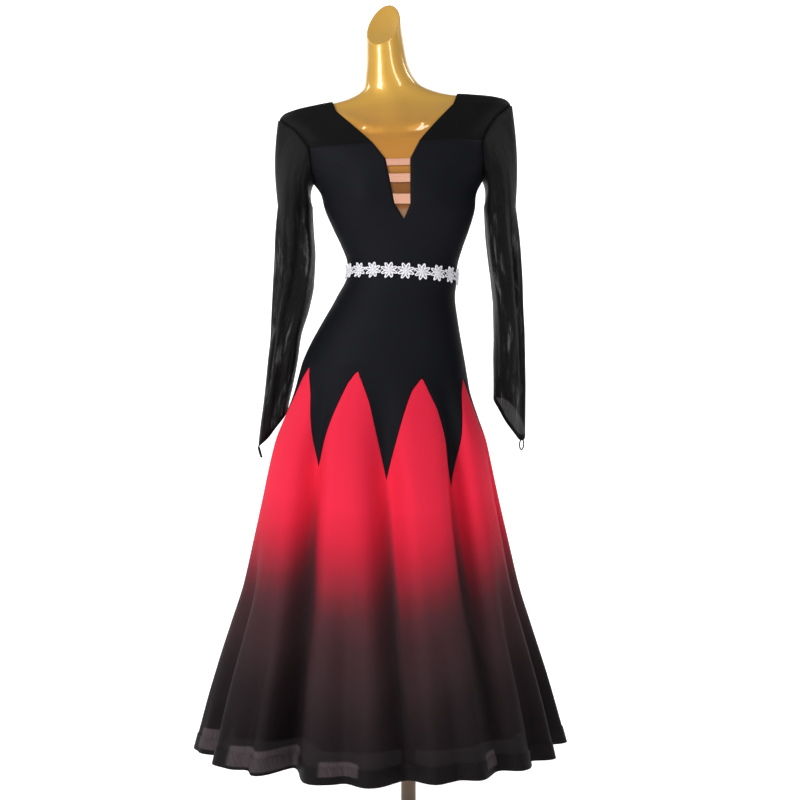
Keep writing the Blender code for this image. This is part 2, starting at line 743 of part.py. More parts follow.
def make_lining():
    """Four panels, seamed at the front, the back and both sides."""
    steps = LOBES * LINING_COLUMNS // LINING_PANELS
    for panel in range(LINING_PANELS):
        grid = []
        for i in range(LINING_ROWS + 1):
            z = blend(LINING_HEM, LINING_TOP, i / LINING_ROWS)
            row = []
            for j in range(steps + 1):
                angle = lobe_angle((panel * steps + j) / LINING_COLUMNS, z)
                if j == 0:
                    angle += seam_inset(z)
                if j == steps:
                    angle -= seam_inset(z)
                row.append(cloth_pair(angle, z, -WALL, WALL, lining_base))
            grid.append(row)
        shell("underskirt_%d" % (panel + 1), grid, "lining")


# Sleeves
def armhole_loop(side):
    """Closed loop of the armhole seam, from the tip down the front to the armpit and back up."""
    half = SLEEVE_COLUMNS // 2
    lengths = [0.0]
    for (x0, z0), (x1, z1) in zip(ARMHOLE[::-1], ARMHOLE[-2::-1]):
        lengths.append(lengths[-1] + math.hypot(x1 - x0, z1 - z0))
    chain = list(zip(lengths, ARMHOLE[::-1]))
    front = []
    for j in range(half + 1):
        want = lengths[-1] * j / half
        for (l0, p0), (l1, p1) in zip(chain, chain[1:]):
            if want <= l1 + 1e-9:
                t = (want - l0) / (l1 - l0)
                x, z = blend(p0[0], p1[0], t), blend(p0[1], p1[1], t)
                break
        angle = 90.0 if j in (0, half) else angle_at(x, z)
        front.append((angle, z))
    loop = front + [(180.0 - angle, z) for angle, z in front[-2:0:-1]]
    return [(side * angle, z) for angle, z in loop]


def sleeve_ring(rows, side, z, column):
    """Point of the hanging sleeve at height z."""
    turn = math.tau * column / SLEEVE_COLUMNS
    flipped = tuple(rows[::-1])
    outer, inner = table_value(flipped, 1, z), table_value(flipped, 2, z)
    depth, middle_y = table_value(flipped, 3, z), table_value(flipped, 4, z)
    waves = 0.0
    for count, height, twist in SLEEVE_FOLDS:
        phase = math.radians(twist * (1.25 - z) * side)
        waves += height * math.cos(count * turn + phase)
    waves *= fade(0.0, 0.10, WAVES_START - z)
    half = (outer - inner) / 2.0
    x = (outer + inner) / 2.0 + (half + waves * WAVE_SIDE_SHARE) * math.cos(turn)
    y = middle_y - (depth + waves) * math.sin(turn)
    return Vector((SLEEVE_MIDDLE + side * x, y, z))


def make_sleeve(name, side):
    rows = SLEEVES[name]
    cuff_inner, cuff_outer, point_shift, point_turn, sharpness = CUFFS[name]
    top_z = rows[0][0]
    seam = armhole_loop(side)
    middle = []
    ring = []
    for angle, z in seam:
        base = cloth_base(angle, z)
        ring.append(base + outward(cloth_base, angle, z) * (EASE + WALL + SLEEVE_LIFT))
    middle.append(ring)
    for i in range(1, CAP_ROWS):
        t = i / CAP_ROWS
        bulge = math.sin(math.pi * t)
        row = []
        for j in range(SLEEVE_COLUMNS):
            start, end = ring[j], sleeve_ring(rows, side, top_z, j)
            bow = Vector((side * CAP_RAISE, start.y * CAP_SPREAD, 0.0))
            row.append(start.lerp(end, t) + bow * bulge)
        middle.append(row)
    for i in range(SLEEVE_ROWS + 1):
        t = i / SLEEVE_ROWS
        row = []
        for j in range(SLEEVE_COLUMNS):
            turn = math.tau * j / SLEEVE_COLUMNS
            outer_share = (0.5 + 0.5 * math.cos(turn - math.radians(point_turn))) ** sharpness
            z = blend(top_z, blend(cuff_inner, cuff_outer, outer_share), t)
            point = sleeve_ring(rows, side, z, j)
            point.x += side * point_shift * outer_share * fade(CUFF_START, CUFF_START - 0.12, z)
            row.append(point)
        middle.append(row)
    shell("sleeve_" + name, wall_from_rings(middle), "mesh", closed=True)
    return min(middle[-1], key=lambda point: point.z)


def wall_from_rings(rings):
    """Grid of (outer, inner) points either side of closed rings, normals taken from the rings."""
    grid = []
    columns = len(rings[0])
    for i, ring in enumerate(rings):
        row = []
        above, below = rings[max(0, i - 1)], rings[min(len(rings) - 1, i + 1)]
        centre = sum(ring, Vector()) / columns
        for j, point in enumerate(ring):
            across = ring[(j + 1) % columns] - ring[j - 1]
            normal = across.cross(below[j] - above[j]).normalized()
            if normal.dot(point - centre) < 0.0:
                normal.negate()
            row.append((point + normal * WALL / 2.0, point - normal * WALL / 2.0))
        grid.append(row)
    return grid


def make_finger_loop(name, tip):
    """Thin elastic ring hanging from the point of the cuff."""
    steps, sides = 10, 5
    points = []
    centre = tip - Vector((0.0, 0.0, LOOP_LENGTH / 2.0 + LOOP_THICK + SEAM))
    for i in range(steps):
        turn = math.tau * i / steps
        along = Vector((LOOP_HALF_WIDTH * math.sin(turn), 0.0, LOOP_LENGTH / 2.0 * math.cos(turn)))
        out = Vector((along.x / LOOP_HALF_WIDTH ** 2, 0.0, along.z * 4.0 / LOOP_LENGTH ** 2)).normalized()
        for j in range(sides):
            spin = math.tau * j / sides
            ring = out * math.cos(spin) + Vector((0.0, 1.0, 0.0)) * math.sin(spin)
            points.append(centre + along + ring * LOOP_THICK)
    faces = []
    for i in range(steps):
        for j in range(sides):
            a, b = i * sides + j, i * sides + (j + 1) % sides
            c, d = (i + 1) % steps * sides + (j + 1) % sides, (i + 1) % steps * sides + j
            faces += [(a, b, c), (a, c, d)]
    add_object("finger_loop_" + name, points, faces, "jersey")


# Waist trim
def flower_angle(place):
    """Angle of a place in the row of flowers, where whole numbers are the joins between them."""
    turn = 360.0 * (place + FLOWER_START) / FLOWERS
    return turn - WAIST_OVAL * math.sin(math.radians(2.0 * turn))


def make_trim():
    """Ring of flowers. Each column stands at a petal's crest or notch."""
    steps = 8
    places = []
    for flower in range(FLOWERS):
        for k in range(steps):
            turn = math.pi * k / steps
            reach = PETAL_REACH if k % 2 == 0 else PETAL_NOTCH
            along = 0.5 - 0.5 * math.cos(turn) * reach / PETAL_REACH
            height = max(TRIM_JOIN, reach * math.sin(turn))
            places.append((flower + along, height, math.sin(turn)))
    grid = []
    for share in (-1.0, 0.0, 1.0):
        row = []
        for place, height, bow in places:
            z = TRIM_HEIGHT + share * height
            eye = blend(PETAL_RAISE, EYE_RAISE, bow ** 6)
            thick = PETAL_RAISE if share else eye
            row.append(cloth_pair(flower_angle(place), z, WALL + TRIM_LAP, thick))
        grid.append(row)
    shell("waist_trim", grid, "flowers", closed=True)


def main():
    for item in list(bpy.data.objects):
        bpy.data.objects.remove(item)
    make_form()
    make_stand()
    make_bodice()
    make_bands()
    make_yokes()
    make_hips()
    make_godets()
    make_lining()
    make_hem_braid()
    for name, side in (("left", -1.0), ("right", 1.0)):
        tip = make_sleeve(name, side)
        make_finger_loop(name, tip)
    make_trim()


main()
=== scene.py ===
"""Ballroom dance dress on its form: the finished look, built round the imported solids."""
import math

import bpy
import bmesh
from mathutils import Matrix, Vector


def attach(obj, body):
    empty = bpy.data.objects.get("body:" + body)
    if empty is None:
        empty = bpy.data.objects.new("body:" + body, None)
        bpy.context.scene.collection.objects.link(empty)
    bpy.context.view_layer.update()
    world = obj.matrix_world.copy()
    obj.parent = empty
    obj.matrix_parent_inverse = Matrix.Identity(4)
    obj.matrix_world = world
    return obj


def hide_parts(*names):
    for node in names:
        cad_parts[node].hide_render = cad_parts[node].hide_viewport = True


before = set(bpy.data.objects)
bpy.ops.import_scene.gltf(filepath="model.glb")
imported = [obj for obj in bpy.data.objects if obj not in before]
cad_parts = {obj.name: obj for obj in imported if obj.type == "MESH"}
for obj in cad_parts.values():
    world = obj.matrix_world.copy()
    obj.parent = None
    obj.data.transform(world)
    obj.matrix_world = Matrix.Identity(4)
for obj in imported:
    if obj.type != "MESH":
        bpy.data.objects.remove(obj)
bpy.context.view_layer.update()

# Cloth
WALL = 0.0015            # thickness of every cloth wall
EASE = 0.0020            # air between the form and the cloth
SHOULDER_SHARE = 0.65    # share of that air left where the dress rests on the shoulders
SHOULDER_LEVELS = (1.395, 1.420)
SEAM = 0.0004            # gap between two pieces along a seam
LAP = 0.0004             # gap between a piece and what it lies on
TRIM_LAP = 0.0010        # the same under the waist trim, over the waist's hollow

# Heights of the cut
HEM = 0.216
WAIST = 1.0950
YOKE_SEAM = 1.3303
ARMPIT = 1.272
LINING_TOP = 0.862
LINING_HEM = 0.262
LINING_LAP = 0.0019       # distance inside the skirt at the top edge
LINING_INSET = 0.0130     # more of it lower down
LINING_SOFTNESS = 0.45    # how much wider its valleys are
BRAID_WIDTH = 0.027
BRAID_WALL = 0.0010
FOLDS_START = 0.900      # above this the valleys stand at their top angles
FOLD_TURN = 0.6
ZIGZAG_GAP = 0.0025      # drop of a godet's top edge below the zigzag

# Dress form and stand
POLE_RADIUS = 0.014
BASE_RADIUS = 0.175
BASE_HEIGHT = 0.022
BASE_EDGE = 0.006
FORM_BOTTOM = 0.760
NECK_TOP = 1.614
NECK_CUT_DROP = 0.092    # how much lower the slanted cut is on its low side
NECK_CUT_TURN = -23.0    # the low side's direction, from the front towards -X
NECK_START = 1.490
NECK_REACH = 0.0318      # radius of the neck at its cut

# Waist trim
FLOWERS = 19
FLOWER_START = -0.29     # shift of the row of flowers, as a share of one flower
WAIST_OVAL = 3.0         # degrees that keep the flowers even round the oval waist
TRIM_HEIGHT = 1.0955

# Posture: the form leans, and its shoulders and waist tilt
POSTURE = (
    # z, centre_x, centre_y, tilt in degrees (positive: the +X side is higher)
    (0.000, -0.054, 0.000, 0.0),
    (0.700, -0.054, 0.002, 0.0),
    (0.914, -0.048, 0.004, 0.0),
    (1.047, -0.0240, 0.002, -1.6),
    (1.095, -0.0115, 0.000, -2.6),
    (1.180, -0.0145, -0.002, -1.2),
    (1.260, -0.0190, -0.001, 0.6),
    (1.370, -0.0250, 0.006, 3.6),
    (1.430, -0.0260, 0.008, 3.8),
    (1.480, -0.0383, 0.004, 2.0),
    (1.540, -0.0445, -0.004, 0.0),
    (1.620, -0.0500, -0.010, 0.0),
)

# Dress form, bare
FORM = (
    # z, half_width, front, back, square, cloth_out (how far the cloth stands out sideways)
    (0.760, 0.1300, 0.084, 0.097, 2.0, 0.0),
    (0.800, 0.1430, 0.091, 0.106, 2.0, 0.0),
    (0.860, 0.1525, 0.096, 0.112, 2.0, 0.0),
    (0.914, 0.1530, 0.096, 0.108, 2.0, 0.0),
    (0.952, 0.1430, 0.096, 0.103, 2.0, 0.0010),
    (1.009, 0.1233, 0.091, 0.091, 2.0, 0.0),
    (1.042, 0.1112, 0.085, 0.083, 2.0, 0.0),
    (1.076, 0.1020, 0.081, 0.079, 2.0, 0.0),
    (1.095, 0.0998, 0.0805, 0.0785, 2.0, 0.0),
    (1.115, 0.1015, 0.082, 0.079, 2.0, 0.0),
    (1.148, 0.1120, 0.089, 0.083, 2.0, 0.0),
    (1.180, 0.1253, 0.099, 0.089, 2.1, 0.0),
    (1.218, 0.1389, 0.108, 0.095, 2.2, 0.0),
    (1.250, 0.1440, 0.110, 0.100, 2.2, 0.001),
    (1.272, 0.1470, 0.111, 0.103, 2.2, 0.011),
    (1.296, 0.1620, 0.110, 0.104, 2.3, 0.013),
    (1.330, 0.1850, 0.104, 0.102, 2.3, 0.004),
    (1.360, 0.1950, 0.092, 0.098, 2.3, 0.002),
    (1.385, 0.1985, 0.074, 0.088, 2.2, 0.010),
    (1.400, 0.1960, 0.062, 0.078, 2.1, 0.022),
    (1.4105, 0.1880, 0.054, 0.071, 2.0, 0.024),
    (1.418, 0.1710, 0.050, 0.066, 2.0, 0.0205),
    (1.423, 0.1480, 0.048, 0.062, 2.0, 0.010),
    (1.4275, 0.1200, 0.047, 0.060, 2.0, 0.0),
    (1.433, 0.0965, 0.046, 0.057, 2.0, 0.0),
    (1.441, 0.0735, 0.045, 0.054, 2.0, 0.0),
    (1.452, 0.0555, 0.044, 0.051, 2.0, 0.0),
    (1.468, 0.0465, 0.043, 0.048, 2.0, 0.0),
    (1.500, 0.0387, 0.040, 0.042, 2.0, 0.0),
    (1.537, 0.0350, 0.037, 0.037, 2.0, 0.0),
    (1.575, 0.0322, 0.034, 0.034, 2.0, 0.0),
    (1.620, 0.0296, 0.032, 0.032, 2.0, 0.0),
)
HIP_LEVEL = 0.930        # the cloth leaves the form below this height

# Skirt below the hips, at its ridges
SKIRT = (
    # z, half_width, front, back, fold depth, fold width
    (0.214, 0.3480, 0.346, 0.346, 0.088, 0.035),
    (0.340, 0.3140, 0.311, 0.312, 0.080, 0.034),
    (0.431, 0.2860, 0.280, 0.282, 0.073, 0.032),
    (0.500, 0.2650, 0.257, 0.259, 0.066, 0.031),
    (0.591, 0.2440, 0.228, 0.232, 0.057, 0.029),
    (0.667, 0.2270, 0.203, 0.208, 0.049, 0.027),
    (0.743, 0.2110, 0.175, 0.182, 0.038, 0.025),
    (0.781, 0.2020, 0.158, 0.166, 0.029, 0.024),
    (0.819, 0.1880, 0.140, 0.149, 0.019, 0.023),
    (0.857, 0.1735, 0.123, 0.133, 0.009, 0.022),
    (0.895, 0.1610, 0.108, 0.119, 0.002, 0.021),
)

# Valleys of the skirt. The first eight lie along the godets' seams, in order round the body.
FOLDS = (
    # angle at the top, at the hem, direction it is drawn in from, depth at the top, at the hem,
    # width, height where it starts
    (-87.0, -86.0, -84.0, 0.80, 0.70, 0.90, 0.930),
    (-41.0, -28.0, -12.0, 1.00, 1.00, 0.95, 0.930),
    (-1.2, 9.0, 5.0, 1.00, 0.50, 1.00, 0.930),
    (47.0, 39.0, 22.0, 1.00, 0.36, 0.95, 0.930),
    (90.0, 74.0, 66.0, 0.85, 0.80, 0.90, 0.930),
    (135.0, 122.0, 122.0, 1.00, 0.90, 1.00, 0.930),
    (180.0, 179.0, 179.0, 1.00, 0.80, 1.00, 0.930),
    (225.0, 229.0, 229.0, 1.00, 1.00, 1.00, 0.930),
    (-70.0, -63.0, -60.0, 0.36, 0.36, 0.75, 0.640),
    (-52.0, -43.0, -36.0, 0.24, 0.24, 0.60, 0.560),
    (-18.0, -9.0, -4.0, 0.26, 0.26, 0.75, 0.600),
    (24.0, 24.0, 14.0, 0.20, 0.20, 0.70, 0.520),
    (66.0, 56.0, 46.0, 0.30, 0.30, 0.65, 0.600),
    (112.0, 98.0, 98.0, 0.34, 0.34, 0.75, 0.620),
    (157.0, 150.0, 150.0, 0.38, 0.38, 0.80, 0.600),
    (203.0, 204.0, 204.0, 0.34, 0.34, 0.75, 0.620),
    (248.0, 252.0, 252.0, 0.36, 0.36, 0.75, 0.600),
)
LOBES = 8

# Lower edge of the hip pieces: black points in the valleys, godet tops between them
POINT_HEIGHTS = (0.722, 0.7375, 0.715, 0.699, 0.706, 0.715, 0.722, 0.718)
PEAK_HEIGHTS = (0.921, 0.912, 0.8995, 0.8995, 0.902, 0.905, 0.905, 0.908)
PEAK_PLACES = (0.56, 0.62, 0.585, 0.52, 0.50, 0.50, 0.50, 0.50)  # from one point to the next
HIP_HEIGHTS = (0.926, 0.965, 1.005, 1.042, 1.076)
POINT_CURVE = 1.6        # how sharply a godet's top rounds over
PEAK_TIPS = (0.45, 0.62)  # least slope of its left and right flank at the top
HIP_SEAM_TURN = 0.10     # degrees that a side seam's edge keeps from the seam's line

# Armhole seam from the armpit to the shoulder tip, the same on the front and the back
ARMHOLE = (
    # distance from the body's middle, z
    (0.1590, 1.2720),
    (0.1570, 1.2830),
    (0.1570, 1.3000),
    (0.1590, 1.3303),
    (0.1700, 1.3520),
    (0.1870, 1.3750),
    (0.2050, 1.3920),
    (0.2190, 1.4020),
)
TIP_HEIGHT = 1.4025
SHOULDER_SEAM_TURN = 0.25  # degrees that a shoulder seam's edge keeps from the seam's line
BACK_SEAM_TURN = 0.06      # the same at the back yokes' middle seam

# Front opening: x from the body's middle, z
NECK_AT_SHOULDER = (0.1180, 1.4278)
NECK_AT_YOKE = (0.0440, YOKE_SEAM)
NOTCH_TOP = (0.0225, 1.2960)
NOTCH_LOW = (0.0150, 1.2150)
NOTCH_BOTTOM = (0.0, 1.1880)
FRONT_NECK = (NECK_AT_YOKE, (0.1090, 1.4010), NECK_AT_SHOULDER)
BACK_NECK = ((0.0, 1.3680), (0.0450, 1.3740), (0.0860, 1.3900), (0.1060, 1.4060), NECK_AT_SHOULDER)
NOTCH_LEAN = 0.0060      # the notch stands a little towards +X

# Rows of both bodice pieces; the notch's bottom and top and the armpit are among them
BODICE_DEPTH = 0.12      # rounded, for the gap of the side seams
BODICE_HEIGHTS = (1.1150, 1.1480, NOTCH_BOTTOM[1], NOTCH_LOW[1], 1.2450, ARMPIT, NOTCH_TOP[1])

# Skin-tone bands across the notch
BANDS = (
    # lower z, upper z
    (1.2835, 1.2955),
    (1.2530, 1.2685),
    (1.2145, 1.2320),
)

# Sleeves: outer and inner edge as distances from the body's middle line at x = SLEEVE_MIDDLE
SLEEVE_MIDDLE = -0.0255
SLEEVES = {
    "left": (
        # z, outer, inner, half depth, middle y
        (1.2250, 0.2220, 0.1560, 0.052, 0.004),
        (1.1800, 0.2240, 0.1540, 0.050, 0.003),
        (1.1300, 0.2255, 0.1500, 0.047, 0.002),
        (1.0800, 0.2282, 0.1515, 0.044, 0.001),
        (1.0300, 0.2307, 0.1610, 0.042, 0.000),
        (0.9800, 0.2335, 0.1765, 0.038, 0.002),
        (0.9300, 0.2415, 0.1850, 0.034, 0.015),
        (0.8850, 0.2482, 0.1955, 0.030, 0.035),
        (0.8400, 0.2535, 0.2065, 0.027, 0.053),
        (0.7700, 0.2612, 0.2130, 0.023, 0.064),
    ),
    "right": (
        (1.2250, 0.2290, 0.1680, 0.052, 0.004),
        (1.1800, 0.2320, 0.1710, 0.050, 0.003),
        (1.1300, 0.2355, 0.1760, 0.047, 0.001),
        (1.0800, 0.2385, 0.1820, 0.044, -0.002),
        (1.0300, 0.2400, 0.1860, 0.042, -0.005),
        (0.9800, 0.2430, 0.1860, 0.040, -0.008),
        (0.9300, 0.2450, 0.1845, 0.038, -0.010),
        (0.8850, 0.2460, 0.1850, 0.036, -0.012),
    ),
}
CUFFS = {
    # z opposite the point, z at the point, shift of the point outwards, its turn to the front,
    # sharpness of the point
    "left": (0.843, 0.764, 0.0045, 10.0, 0.85),
    "right": (0.862, 0.781, 0.0, 38.0, 1.50),
}
CUFF_START = 0.90
CUFF_HEM = 0.011         # width of the doubled cloth at the cuff
SLEEVE_FOLDS = (
    # waves round the sleeve, height of the waves, turn in degrees for each metre down
    (3, 0.0050, 160.0),
    (5, 0.0032, -210.0),
)
WAVES_START = 1.26
WAVE_SIDE_SHARE = 0.35   # the waves are lower towards the body and away from it
SLEEVE_LIFT = 0.0022     # how far the sleeve head's seam lies outside the bodice's
CAP_RAISE = 0.006        # how far the sleeve head bulges outwards
CAP_SPREAD = 0.12        # the same to the front and back, as a share

# Bust
BUST_HEIGHT = 1.222
BUST_SPREAD = 0.070
BUST_RAISE = 0.013
FORM_BUST_RAISE = 0.009  # the cloth spans the form's bust
BUST_WIDE = 0.042
BUST_TALL = 0.045


def table_value(table, column, z):
    """A column of a table at height z, as a smooth curve that never overshoots its rows."""
    last = len(table) - 1
    if z <= table[0][0]:
        return table[0][column]
    if z >= table[last][0]:
        return table[last][column]
    row = next(i for i in range(last) if z <= table[i + 1][0])

    def slope(i):
        return (table[i + 1][column] - table[i][column]) / (table[i + 1][0] - table[i][0])

    def tangent(i):
        if i in (0, last):
            return slope(min(i, last - 1))
        before, after = slope(i - 1), slope(i)
        if before * after <= 0.0:
            return 0.0
        return 2.0 * before * after / (before + after)

    step = table[row + 1][0] - table[row][0]
    t = (z - table[row][0]) / step
    rise = t * t * (3.0 - 2.0 * t)
    start = t * (1.0 - t) * (1.0 - t) * step * tangent(row)
    end = -t * t * (1.0 - t) * step * tangent(row + 1)
    return table[row][column] * (1.0 - rise) + table[row + 1][column] * rise + start + end


def blend(a, b, t):
    return a + (b - a) * t


def fade(low, high, x):
    """0 below low, 1 above high, smooth between."""
    t = min(1.0, max(0.0, (x - low) / (high - low)))
    return t * t * (3.0 - 2.0 * t)


def signed_power(x, power):
    return math.copysign(abs(x) ** power, x)


# The garment's own rows: the skirt, then the form's rows with the cloth's sideways spread
CLOTH = tuple(row[:4] + (2.0,) for row in SKIRT) + tuple(
    (z, half + out, front, back, square)
    for z, half, front, back, square, out in FORM if z > HIP_LEVEL
)


def section_point(table, angle, z, bust=BUST_RAISE):
    """Point of the form (table FORM) or of the garment (table CLOTH), without folds."""
    half = table_value(table, 1, z)
    front = table_value(table, 2, z)
    back = table_value(table, 3, z)
    power = 2.0 / table_value(table, 4, z)
    side = math.sin(math.radians(angle))
    ahead = math.cos(math.radians(angle))
    x = half * signed_power(side, power)
    y = -signed_power(ahead, power) * (front if ahead > 0.0 else back)
    if ahead > 0.0:
        across = (abs(x) - BUST_SPREAD) / BUST_WIDE
        up = (z - BUST_HEIGHT) / BUST_TALL
        y -= bust * math.exp(-across * across - up * up) * min(1.0, 3.0 * ahead)
    return Vector((x, y, z))


def fold_angle(fold, z):
    """Angle of a valley at height z: it turns from its top to its hem angle, mostly high up."""
    t = min(1.0, max(0.0, (FOLDS_START - z) / (FOLDS_START - HEM)))
    return blend(fold[0], fold[1], t ** FOLD_TURN)


def pull_folds(point, angle, z, softness=1.0):
    """Draw the skirt in along its valleys."""
    depth = table_value(SKIRT, 4, z) * (1.0 - fade(SKIRT[-1][0], HIP_LEVEL, z))
    if depth < 0.0001:
        return point
    radius = point.xy.length
    width = table_value(SKIRT, 5, z) * softness
    for fold in FOLDS:
        away = (angle - fold_angle(fold, z) + 180.0) % 360.0 - 180.0
        reach = math.radians(away) * radius / (width * fold[5])
        if abs(reach) > 3.2:
            continue
        start = fade(0.0, 0.22, fold[6] - z) if fold[6] < FOLDS_START else 1.0
        share = blend(fold[4], fold[3], fade(HEM, POINT_HEIGHTS[0], z))
        draw = depth * share * start * math.exp(-reach * reach)
        turn = math.radians(fold[2] + (fold_angle(fold, z) - fold[1]))
        point = point - draw * Vector((math.sin(turn), -math.cos(turn), 0.0))
    return point


def settle(point, z):
    """Apply the posture: the section's place and tilt."""
    lean = math.tan(math.radians(table_value(POSTURE, 3, z)))
    return Vector((
        point.x + table_value(POSTURE, 1, z),
        point.y + table_value(POSTURE, 2, z),
        point.z + point.x * lean,
    ))


def form_point(angle, z):
    return settle(section_point(FORM, angle, z, FORM_BUST_RAISE), z)


def cloth_base(angle, z):
    return settle(pull_folds(section_point(CLOTH, angle, z), angle, z), z)


def lining_base(angle, z):
    """The underskirt hangs inside the skirt, with softer valleys."""
    loose = fade(LINING_TOP - 0.004, LINING_TOP - 0.110, z)
    point = section_point(CLOTH, angle, z)
    flat = Vector((point.x, point.y, 0.0))
    point = point - flat.normalized() * (LINING_LAP + LINING_INSET * loose)
    return settle(pull_folds(point, angle, z, 1.0 + LINING_SOFTNESS * loose), z)


def outward(surface, angle, z):
    """Normal of a surface function, pointing away from the body."""
    small_turn, small_rise = 0.05, 0.0001
    across = surface(angle + small_turn, z) - surface(angle - small_turn, z)
    up = surface(angle, z + small_rise) - surface(angle, z - small_rise)
    return across.cross(up).normalized()


def cloth_pair(angle, z, lift=0.0, wall=WALL, surface=cloth_base):
    """Outer and inner point of a wall on the garment surface, eased off the form above the hips."""
    base = surface(angle, z)
    normal = outward(surface, angle, z)
    rest = blend(1.0, SHOULDER_SHARE, fade(*SHOULDER_LEVELS, z))
    inside = EASE * fade(LINING_TOP, HIP_LEVEL, z) * rest + lift
    return base + normal * (inside + wall), base + normal * inside


def angle_at(x, z):
    """Angle of the front surface at distance x from the body's middle."""
    ratio = min(1.0, abs(x) / table_value(CLOTH, 1, z))
    turn = math.degrees(math.asin(ratio ** (table_value(CLOTH, 4, z) / 2.0)))
    return math.copysign(turn, x)


def height_at_width(half):
    """Height on the shoulder where the garment's half width has come down to half."""
    low, high = TIP_HEIGHT, CLOTH[-1][0]
    for _ in range(40):
        middle = (low + high) / 2.0
        if table_value(CLOTH, 1, middle) > half:
            low = middle
        else:
            high = middle
    return (low + high) / 2.0


def neck_cut(point):
    """Keep a point of the neck under the slanted cut."""
    turn = math.radians(NECK_CUT_TURN)
    low_side = Vector((math.sin(turn), -math.cos(turn)))
    middle = Vector((table_value(POSTURE, 1, NECK_TOP), table_value(POSTURE, 2, NECK_TOP)))
    along = (point.xy - middle).dot(low_side) / NECK_REACH
    top = NECK_TOP - NECK_CUT_DROP * (0.5 + 0.5 * along)
    return Vector((point.x, point.y, min(point.z, top)))


def chain_value(points, z):
    """x along a chain of (x, z) points at height z."""
    for (x0, z0), (x1, z1) in zip(points, points[1:]):
        if z <= z1:
            return blend(x0, x1, max(0.0, (z - z0) / (z1 - z0)))
    return points[-1][0]


def notch_middle(z):
    """The notch leans from the middle at the yoke seam towards +X at its bottom."""
    return NOTCH_LEAN * (YOKE_SEAM - z) / (YOKE_SEAM - NOTCH_BOTTOM[1])


def notch_half(z):
    if z <= NOTCH_BOTTOM[1]:
        return 0.0
    return chain_value((NOTCH_BOTTOM, NOTCH_LOW, NOTCH_TOP, NECK_AT_YOKE), z)


def side_angle(z):
    """Angle of the bodice's side edge: the side seam, then the armhole."""
    if z <= ARMPIT:
        return 90.0 - math.degrees(SEAM / 2.0 / BODICE_DEPTH)
    return angle_at(chain_value(ARMHOLE, z), z)


def seam_angle(index, z):
    turns, place = divmod(index, LOBES)
    return fold_angle(FOLDS[place], z) + 360.0 * turns


def lobe_angle(q, z):
    """Angle at place q round the skirt: whole numbers are valleys, halves are ridges."""
    index = math.floor(q)
    return blend(seam_angle(index, z), seam_angle(index + 1, z), q - index)


def zigzag(q):
    """Height of the seam between the hip piece and the godets."""
    index = math.floor(q)
    place = PEAK_PLACES[index % LOBES]
    past = q - index > place
    t = (q - index - place) / (1.0 - place) if past else 1.0 - (q - index) / place
    point = POINT_HEIGHTS[(index + past) % LOBES]
    peak = PEAK_HEIGHTS[index % LOBES]
    return blend(peak, point, max(t ** POINT_CURVE, t * PEAK_TIPS[past]))


def flower_angle(place):
    """Angle of a place in the row of flowers, where whole numbers are the joins between them."""
    turn = 360.0 * (place + FLOWER_START) / FLOWERS
    return turn - WAIST_OVAL * math.sin(math.radians(2.0 * turn))


# Meshes
CORD_SIDES = 7           # sides of a cord that runs round
UP = Vector((0.0, 0.0, 1.0))


def mesh_object(name, points, faces, uvs=None, values=None):
    """Mesh object from points and faces, with a UV pair and named values for each point."""
    mesh = bpy.data.meshes.new(name)
    mesh.from_pydata([tuple(point) for point in points], [], faces)
    if uvs:
        layer = mesh.uv_layers.new(name="cloth")
        for loop in mesh.loops:
            layer.data[loop.index].uv = uvs[loop.vertex_index]
    for key, numbers in (values or {}).items():
        attribute = mesh.attributes.new(key, "FLOAT", "POINT")
        attribute.data.foreach_set("value", numbers)
    mesh.shade_smooth()
    piece = bpy.data.objects.new(name, mesh)
    bpy.context.scene.collection.objects.link(piece)
    return piece


def cloth_grid(name, grid, uvs, values=None, closed=False, two_sided=True, slit=None):
    """Cloth from rows of (outer, inner) points, as a thin wall, or as one skin.

    A slit (column, row) opens it between that column and the next, from that row up.
    """
    rows, columns = len(grid), len(grid[0])
    count = rows * columns
    points = [pair[0] for row in grid for pair in row]
    flat = [uv for row in uvs for uv in row]
    numbers = {key: [v for row in table for v in row] for key, table in (values or {}).items()}
    if two_sided:
        points += [pair[1] for row in grid for pair in row]
        flat += flat
        numbers = {key: table + table for key, table in numbers.items()}
    faces = []

    def at(i, j):
        return i * columns + j % columns

    spans = [j for j in range(columns if closed else columns - 1) if not slit or j != slit[0]]
    for i in range(rows - 1):
        for j in spans:
            quad = (at(i, j), at(i, j + 1), at(i + 1, j + 1), at(i + 1, j))
            faces.append(quad)
            if two_sided:
                faces.append(tuple(count + k for k in reversed(quad)))
    if two_sided:
        rim = [(at(0, j + 1), at(0, j)) for j in spans]
        rim += [(at(rows - 1, j), at(rows - 1, j + 1)) for j in spans]
        if slit:
            rim += [(at(i + 1, slit[0]), at(i, slit[0])) for i in range(slit[1], rows - 1)]
            rim += [(at(i, slit[0] + 1), at(i + 1, slit[0] + 1)) for i in range(slit[1], rows - 1)]
        if not closed:
            rim += [(at(i, 0), at(i + 1, 0)) for i in range(rows - 1)]
            rim += [(at(i + 1, columns - 1), at(i, columns - 1)) for i in range(rows - 1)]
        faces += [(a, b, count + b, count + a) for a, b in rim]
    piece = mesh_object(name, points, faces, flat, numbers)
    shape = bmesh.new()
    shape.from_mesh(piece.data)
    bmesh.ops.remove_doubles(shape, verts=shape.verts, dist=0.000001)
    shape.to_mesh(piece.data)
    shape.free()
    return piece


def ring_faces(count, sides):
    """Faces between a count of rings of points, with a face across the first and the last ring."""
    faces = []
    for i in range(count - 1):
        for j in range(sides):
            a, b = i * sides + j, i * sides + (j + 1) % sides
            faces.append((a, b, b + sides, a + sides))
    faces.append(tuple(range(sides))[::-1])
    faces.append(tuple((count - 1) * sides + j for j in range(sides)))
    return faces


